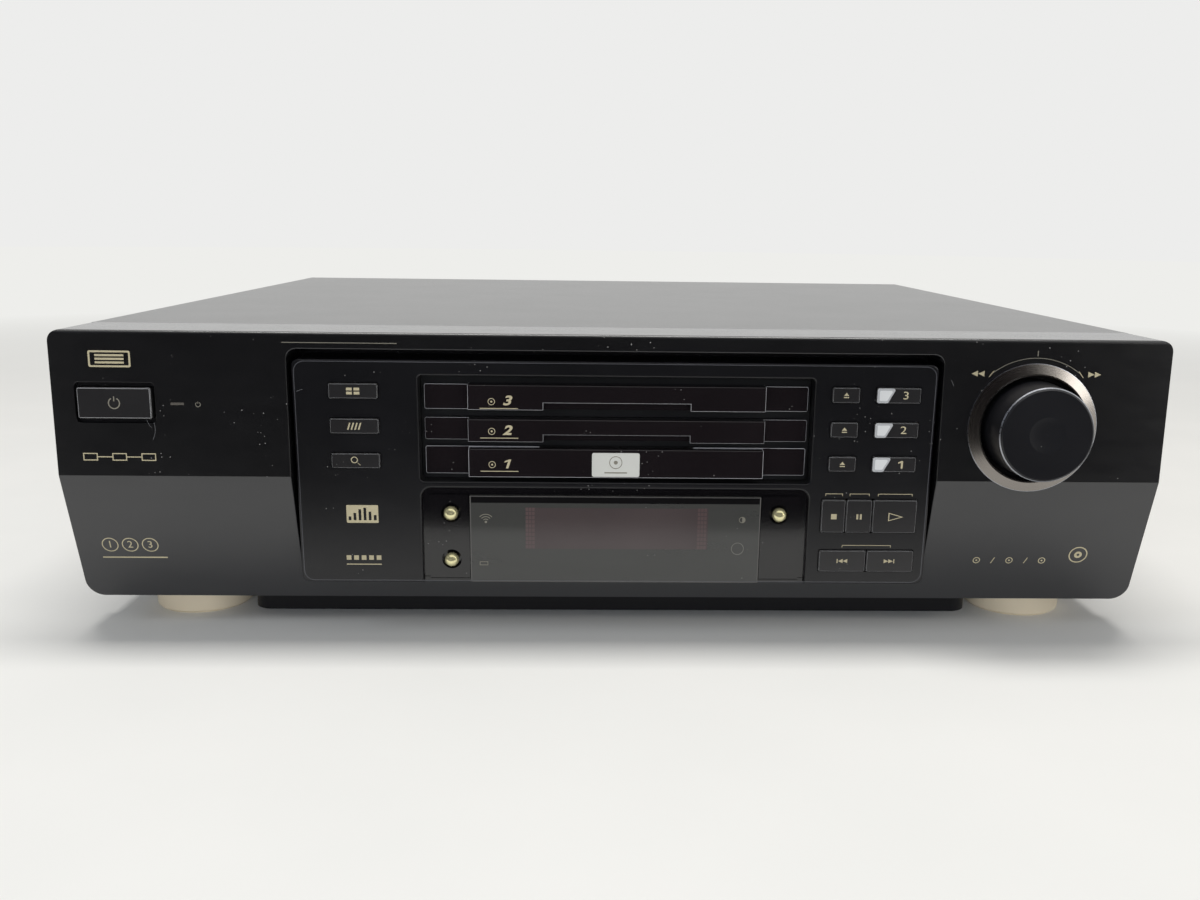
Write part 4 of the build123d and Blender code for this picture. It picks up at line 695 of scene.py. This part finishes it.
def transport_marks():
    """Symbols on the keys that stop, pause, play and skip, and the lines over them."""
    stop = [rectangle(0, 0, 2.3, 2.2)]
    pause = [rectangle(x, 0, 0.8, 2.2) for x in (-0.7, 0.7)]
    play = [triangle(0, 0, 6.0, 3.6), triangle(-0.26, 0, 4.7, 2.7)]
    skip = {
        side: [
            triangle(side * -1.25, 0, 1.9, 1.7, side),
            triangle(side * 0.65, 0, 1.9, 1.7, side),
            rectangle(side * 1.95, 0, 0.4, 1.7),
        ]
        for side in (-1, 1)
    }
    for name, marks, x, z in (
        ("stop", stop, 87.8, PLAY_ROW),
        ("pause", pause, 98.0, PLAY_ROW),
        ("play", play, 112.9, PLAY_ROW),
        ("skip_back", skip[-1], 92.2, SKIP_ROW),
        ("skip_forward", skip[1], 111.5, SKIP_ROW),
    ):
        flat_piece(f"{name}_mark", marks, on_face(x, z, KEY_PROUD), f"{name}_button", "print")
    for name, x, z, width in (
        ("stop", 87.6, 60.9, 7.0),
        ("pause", 97.9, 60.9, 8.0),
        ("play", 112.3, 60.9, 14.0),
        ("skip", 102.0, 39.2, 20.0),
    ):
        case_print(f"{name}_bracket", [bracket(width)], on_face(x, z))


def door_marks():
    """Numbers on the doors, each over a plain line, with a small ring beside it."""
    for number, z in enumerate(DOOR_ROWS, 1):
        body = f"tray_{number}"
        matrix = on_face(-43.2, z + 0.4, -DOOR_SINK)
        flagged_number(f"door_number_{number}", number, 5.2, matrix, body, 0.25, 0.16, 1.3)
        matrix = on_face(-49.2, z + 0.1, -DOOR_SINK)
        flat_piece(f"door_ring_{number}", rings(1.4, 1.15, 0.4), matrix, body, "print")
        matrix = on_face(-46.3, z - 2.6, -DOOR_SINK)
        flat_piece(f"door_line_{number}", [rectangle(0, 0, 15.0, 0.3)], matrix, body, "print")
    x, z = -0.25, 72.2
    plate = [rounded(0, 0, 18.9, 9.8, 0.8)]
    flat_piece("blank_plate", plate, on_face(x, z, -DOOR_SINK), "tray_1", "plate", PLATE_THICK)
    marks = [*rings(2.6, 2.3, 0.8, y=1.0), rectangle(0, -3.2, 9.0, 0.5)]
    matrix = on_face(x, z, PLATE_THICK - DOOR_SINK)
    flat_piece("plate_ring", marks, matrix, "tray_1", "print_dim", INLAY_THICK)


def upright_marks():
    """Marks on the upright face: symbols at the left, and the scale of the dial."""
    bars = [rectangle(0, y, 11.0, 0.8) for y in (-1.4, 0.0, 1.4)]
    drawer = [rounded(0, 0, 16.0, 6.4, 0.7), rounded(0, 0, 14.6, 5.0, 0.4), *bars]
    case_print("drawer_symbol", drawer, on_upright(-194.6, 113.0))
    sizes = ((5.6, 3.0), (4.8, 2.2))
    boxes = [rectangle(x, 0, *size) for size in sizes for x in (-11.2, 0, 11.2)]
    case_print("link_symbol", boxes, on_upright(-193.4, 74.7))
    joins = [rectangle(x, 0, 5.6, 0.4) for x in (-5.6, 5.6)]
    case_print("link_lines", joins, on_upright(-193.4, 74.7))
    matrix = on_upright(-193.6, 96.0, POWER_KEY_PROUD)
    flat_piece("power_symbol", standby_symbol(2.1, 0.45), matrix, "power_button", "print_dim")
    case_print("standby_symbol", standby_symbol(0.9, 0.25), on_upright(-162.0, 95.6), "print_dim")
    case_print("top_line", [rectangle(0, 0, 44.0, 0.3)], on_upright(-107.0, 120.0), "print_dim")
    x, z = DIAL
    case_print("dial_arc", [band(0, 0, 27.8, 0.25, 52, 128, 60)], on_upright(x, z), "print_dim")
    for side, name in ((-1, "left"), (1, "right")):
        end = [(0, 0), (0.35 * side, 0), (-1.5 * side, 2.5), (-1.85 * side, 2.5)]
        case_print(f"arc_end_{name}", [end], on_upright(x + side * 18.5, z + 20.2))
        wind = [triangle(along, 0, 2.5, 2.3, side) for along in (-1.3, 1.3)]
        case_print(f"wind_{name}", wind, on_upright(x + side * 23.1, z + 21.5))
    case_print("dial_index", [rectangle(0, 0, 0.4, 2.2)], on_upright(x, 118.6), "print_dim")


def chin_marks():
    """Numbers in rings at the left of the chin, and disc symbols at its right."""
    for number, x in enumerate((-204.0, -196.0, -188.0), 1):
        case_print(f"disc_ring_{number}", rings(3.3, 2.9), on_chin(x, 36.4))
        number_print(f"ring_number_{number}", number, 4.6, on_chin(x, 36.4), "case")
    case_print("chin_line", [rectangle(0, 0, 26.0, 0.6)], on_chin(-195.0, 30.6))
    for number, x in enumerate((150.2, 163.9, 177.6), 1):
        case_print(f"disc_symbol_{number}", rings(1.5, 1.15, 0.4), on_chin(x, 31.1))
    for number, x in enumerate((157.0, 170.8), 1):
        case_print(f"slash_{number}", [slanted(-0.8, 0.35, 2.8, 1.25)], on_chin(x, 31.1))
    case_print("disc_symbol_large", rings(3.9, 3.4, 1.6, 0.6), on_chin(192.3, 33.9))


def face_marks():
    """Symbols on the raked face, and those printed on the window."""
    bars = enumerate((1.6, 3.0, 4.6, 5.2, 3.6, 2.2))
    levels = [rectangle(-5.0 + 2.0 * index, -2.6 + high / 2, 1.1, high) for index, high in bars]
    case_print("level_symbol", [rounded(0, 0, 12.6, 7.4, 0.4), *levels], on_face(-101.0, 51.4))
    dots = [rectangle(x, 0.9, 1.9, 1.9) for x in (-6.0, -3.0, 0.0, 3.0, 6.0)]
    case_print("channel_dots", [*dots, rectangle(0, -1.9, 14.0, 0.4)], on_face(-101.1, 32.2))
    waves = [band(0, -1.0, radius, 0.3, 40, 140, 12) for radius in (1.2, 2.2, 3.2)]
    case_print("position_symbol", [circle(0, -1.0, 0.5, 16), *waves], on_face(-52.0, 49.4), "print_dim")
    frames = [rectangle(-1.0, -0.3, 3.4, 1.6), rectangle(-1.0, -0.3, 2.9, 1.1)]
    case_print("depth_symbol", frames, on_face(-52.0, 31.2), "print_dim")
    half = [*rings(1.3, 1.05), band(0, 0, 0.52, 1.04, -90, 90, 12)]
    case_print("dimmer_symbol", half, on_face(51.0, 49.8), "print_dim")


# Display: what shows through the window, printed on its face
def display_parts():
    window_band = [rectangle(0, 0, 115.6, 2.5)]
    flat_piece("window_band", window_band, on_face(0, 57.6), "case", "window_band", FILM_THICK)
    display_filter = [rectangle(0, 0, 73.0, 17.2)]
    flat_piece("display_filter", display_filter, on_face(0.75, 45.8), "case", "filter", FILM_THICK)
    places = [(column * 1.3, row * 1.75) for column in (-1, 0, 1) for row in range(-5, 5)]
    for name, x in (("left", -34.3), ("right", 34.8)):
        segments = [rectangle(across, up, 1.05, 1.4) for across, up in places]
        matrix = on_face(x, 46.8, FILM_THICK)
        flat_piece(f"segments_{name}", segments, matrix, "case", "segment", FILM_THICK)
    flat_piece("sensor_ring", rings(2.6, 2.3), on_face(49.5, 37.6), "case", "print_faint", FILM_THICK)


def ball_caps():
    """Round caps over the balls, down to a flat back inside them."""
    radius = 2.85
    turns = [math.radians(angle) for angle in range(6, 120, 6)]
    dome = [(radius * math.sin(turn), radius * math.cos(turn)) for turn in turns]
    profile = [(0.0, radius), *dome, (1.5, -1.5), (0.0, -1.5)]
    for number, (x, z) in enumerate(BALLS, 1):
        matrix = on_face(x, z, -BALL_SINK)
        ball = turned_piece(f"ball_cap_{number}", profile, matrix, f"ball_button_{number}", "gold", 48)


# Painted highlight along the centre panel's edge, and the scratches of use
def wear():
    # Painted highlight: a pale ring along the centre panel's rounded edge
    rim = [rounded(0, 0, 250.6, 89.6, 4.2), rounded(0, 0, 250.1, 89.1, 3.95)]
    flat_piece("centre_edge_highlight", rim, on_face(0, 68.15), "case", "painted_edge_highlight", FILM_THICK)
    scratches = (
        (-188.0, 86.0, 9.0, -30, 15),
        (-176.0, 90.5, 6.0, 190, 225),
        (-203.0, 87.0, 8.0, 60, 84),
        (-120.0, 92.0, 10.0, 100, 115),
        (142.0, 112.0, 12.0, 200, 212),
    )
    for number, (x, z, radius, start, end) in enumerate(scratches, 1):
        line = [band(0, 0, radius, 0.1, start, end, 10)]
        flat_piece(f"scratch_{number}", line, on_upright(x, z), "case", "scratch", SCRATCH_THICK)


# Bright rims of the dial
def dial_parts():
    rim = [(17.95, 15.37), (18.35, 14.97), (18.4, 15.02), (18.0, 15.42)]
    turned_piece("knob_rim", rim, on_upright(*DIAL), "shuttle_knob", "rim", 96)
    line = [(25.5, 0.0), (25.75, 0.0), (25.7, 0.32), (25.5, 0.42)]
    turned_piece("ring_line", line, on_upright(*DIAL), "case", "rim", 128)


# Screws, and the coloured and plated parts of the sockets
def cross_cutter():
    """Cross of two tapered blades, wide at the top."""
    shape = bmesh.new()
    for long_x, long_y in ((1.9, 0.36), (0.36, 1.9)):
        square = [(x * long_x, y * long_y) for x, y in ((-1, -1), (1, -1), (1, 1), (-1, 1))]
        low = [(x * 0.6, y * 0.6, 0.5) for x, y in square]
        high = [(x, y, 2.0) for x, y in square]
        points = [shape.verts.new([c * MM for c in point]) for point in low + high]
        for corners in ((3, 2, 1, 0), (4, 5, 6, 7), (0, 1, 5, 4), (1, 2, 6, 5), (2, 3, 7, 6), (3, 0, 4, 7)):
            shape.faces.new([points[corner] for corner in corners])
    mesh = bpy.data.meshes.new("screw_cutter")
    shape.to_mesh(mesh)
    shape.free()
    return add_object("screw_cutter", mesh)


def screw_mesh():
    """Pan head with a cross cut into it."""
    profile = [(0, 1.55), (1.2, 1.5), (2.2, 1.28), (3.0, 0.85), (3.4, 0.3), (3.45, 0), (0, 0)]
    head = add_object("screw_head", turned_mesh("screw_head", profile, 40))
    cutter = cross_cutter()
    cut = head.modifiers.new("cross", "BOOLEAN")
    cut.object = cutter
    cut.operation = "DIFFERENCE"
    cut.solver = "EXACT"
    cut.use_self = True
    mesh = evaluated_mesh(head)
    for thing in (head, cutter):
        bpy.data.objects.remove(thing)
    return mesh


def screws():
    """Screws of the cover at both sides and at the rear, and of the sockets."""
    spin = random.Random(7)
    source = screw_mesh()
    low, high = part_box("top_cover")
    places = []
    for side, x in ((-1, low.x), (1, high.x)):
        places += [((x, y, 30 * MM), (side, 0, 0)) for y in (low.y + 30 * MM, high.y - 45 * MM)]
    on_back = [(x, 117) for x in (-200, -66, 66, 200)]
    on_back += [(x, 24) for x in (-206, 0, 206)]
    on_back += [(66, 49), (152, 50), (-166, 42), (-204, 42)]
    places += [((x * MM, REAR_Y, z * MM), (0, 1, 0)) for x, z in on_back]
    for number, (point, normal) in enumerate(places, 1):
        mesh = source.copy()
        matrix = stand(point, normal, spin.uniform(0, math.pi))
        screw = add_piece(f"screw_{number}", mesh, matrix, "case", "screw")


def socket_colour(x, z):
    """Colour of a phono socket: yellow for pictures and data at the right, and white over red for sound."""
    upper = z > 50
    if x > 110 or (x > 80 and upper):
        return "jack_yellow"
    return "jack_white" if upper else "jack_red"


def rear_parts():
    """Coloured rings and plated sleeves of the phono sockets, and plain outlines round the groups."""
    sleeve = [(4.15, 1.6), (4.22, 1.6), (4.22, 7.9), (3.9, 8.0), (1.75, 8.0), (1.75, 7.7), (4.15, 7.7)]
    collar = [(4.3, 1.5), (6.0, 1.5), (6.0, 1.9), (5.4, 2.3), (4.3, 2.3)]
    mounts = [mount for mount in frame["record"]["mounts"] if mount["name"].startswith("phono_socket")]
    for mount in mounts:
        number = mount["name"].rsplit("_", 1)[1]
        x, _, z = (value / MM for value in mount["pos_m"])
        turned_piece(f"socket_collar_{number}", collar, on_rear(x, z), "case", socket_colour(x, z), 48)
        socket = turned_piece(f"socket_sleeve_{number}", sleeve, on_rear(x, z), "case", "nickel", 48)
    for name, x, z, width, height in (
        ("audio", 39.0, 49.0, 38.0, 38.0),
        ("video", 111.0, 49.0, 74.0, 40.0),
        ("digital", 165.0, 40.0, 22.0, 22.0),
        ("mains", -185.0, 42.0, 52.0, 30.0),
    ):
        outline = [rounded(0, 0, width, height, 2.0), rounded(0, 0, width - 0.8, height - 0.8, 1.6)]
        case_print(f"{name}_outline", outline, on_rear(x, z), "print_dim")


row_marks()
transport_marks()
door_marks()
upright_marks()
chin_marks()
face_marks()
display_parts()
ball_caps()
wear()
dial_parts()
screws()
rear_parts()


# Floor, light and camera
def pale_floor():
    """Matt floor, which fades far from the part into a plain pale light."""
    finish = Finish("pale_floor")
    tone = finish.blend(finish.noise(9.0, 4.0), linear(232, 232, 229), linear(240, 239, 236))
    finish.set(Base_Color=tone, Roughness=1.0, Specular_IOR_Level=0.0)
    fade = finish.ramp(finish.vector("LENGTH", finish.coords), 0.0, 1.0, 0.55, 1.6)
    pale = finish.glow(linear(238, 238, 235))
    mixed = finish.add("MixShader", {"Fac": fade, 1: finish.shader.outputs["BSDF"], 2: pale})
    finish.surface(mixed.outputs["Shader"])
    return finish.material


def gloss_card(name, path, height, colour):
    """Upright card along a path in metres, which shows in the gloss only."""
    material = bpy.data.materials.new(name)
    tree = Tree(material)
    tree.surface(tree.glow(colour))
    mesh = bpy.data.meshes.new(name)
    points = [(x, y, z) for z in (0.001, height) for x, y in path]
    count = len(path)
    faces = [(i, i + 1, count + i + 1, count + i) for i in range(count - 1)]
    mesh.from_pydata(points, [], faces)
    mesh.materials.append(material)
    card = add_object(name, mesh)
    card.visible_camera = False
    card.visible_diffuse = False
    card.visible_shadow = False
    card.visible_transmission = False


def stage():
    bpy.ops.mesh.primitive_circle_add(vertices=96, radius=6.0, fill_type="NGON", location=(0, 0, 0))
    floor = bpy.context.object
    floor.name = "floor"
    floor.data.materials.append(pale_floor())

    # The table's near edge, and the dim room round it
    near = [(x, FRONT_Y - 0.115) for x in (-0.31, 0.31)]
    around = [math.radians(angle) for angle in range(-105, 40, 9)]
    room = [(1.1 * math.sin(angle), FRONT_Y - 1.1 * math.cos(angle)) for angle in around]
    gloss_card("dark_card", near, 0.2, linear(34, 31, 33))
    gloss_card("dim_room", room, 1.5, linear(62, 58, 60))


def lights():
    world = bpy.data.worlds.new("world")
    bpy.context.scene.world = world
    tree = Tree(world)
    background = tree.nodes["Background"]
    background.inputs["Color"].default_value = linear(237, 237, 236)
    path = tree.add("LightPath").outputs
    seen = tree.number("MAXIMUM", path["Is Camera Ray"], path["Is Glossy Ray"])
    tree.feed(background.inputs["Strength"], tree.ramp(seen, WORLD_LIGHT, 1.0))
    for name, point, width, height, power, colour, in_gloss in (
        ("top_light", (0.0, FRONT_Y + 0.21, 1.75), 1.4, 0.4, 21.5, (1.0, 0.985, 0.96), True),
        ("front_light", (0.0, FRONT_Y - 1.6, 0.34), 1.6, 0.5, 11.0, (0.87, 0.92, 1.0), False),
        ("left_light", (-1.3, FRONT_Y - 0.5, 0.9), 0.6, 0.6, 3.0, (0.84, 0.91, 1.0), True),
        ("right_light", (1.15, FRONT_Y - 0.65, 0.5), 0.5, 0.5, 3.0, (1.0, 0.98, 0.94), True),
    ):
        data = bpy.data.lights.new(name, "AREA")
        data.shape = "RECTANGLE"
        data.size = width
        data.size_y = height
        data.energy = power
        data.color = colour
        lamp = add_object(name, data)
        lamp.location = point
        lamp.visible_glossy = in_gloss
        lamp.rotation_euler = (Vector((0, 0, 0)) - Vector(point)).to_track_quat("-Z", "Y").to_euler()


def camera():
    level = Vector((math.sin(CAMERA_YAW), math.cos(CAMERA_YAW), 0))
    forward = level * math.cos(CAMERA_PITCH) - Vector((0, 0, math.sin(CAMERA_PITCH)))
    right = Vector((math.cos(CAMERA_YAW), -math.sin(CAMERA_YAW), 0))
    up = right.cross(forward)
    turned_right = math.cos(CAMERA_ROLL) * right + math.sin(CAMERA_ROLL) * up
    turned_up = -math.sin(CAMERA_ROLL) * right + math.cos(CAMERA_ROLL) * up
    data = bpy.data.cameras.new("camera")
    data.sensor_width = SENSOR_WIDTH
    data.lens = FOCAL_PIXELS / PHOTO_WIDTH * SENSOR_WIDTH
    data.shift_x = (PHOTO_WIDTH / 2 - CENTRE_PIXEL) / PHOTO_WIDTH
    data.clip_start = 0.01
    data.clip_end = 50.0
    eye = add_object("camera", data)
    x, y, z = CAMERA_PLACE
    eye.matrix_world = axes(turned_right, turned_up, -forward, (x * MM, FRONT_Y + y * MM, z * MM))
    bpy.context.scene.camera = eye


stage()
lights()
camera()
bpy.context.scene.view_settings.view_transform = "Standard"
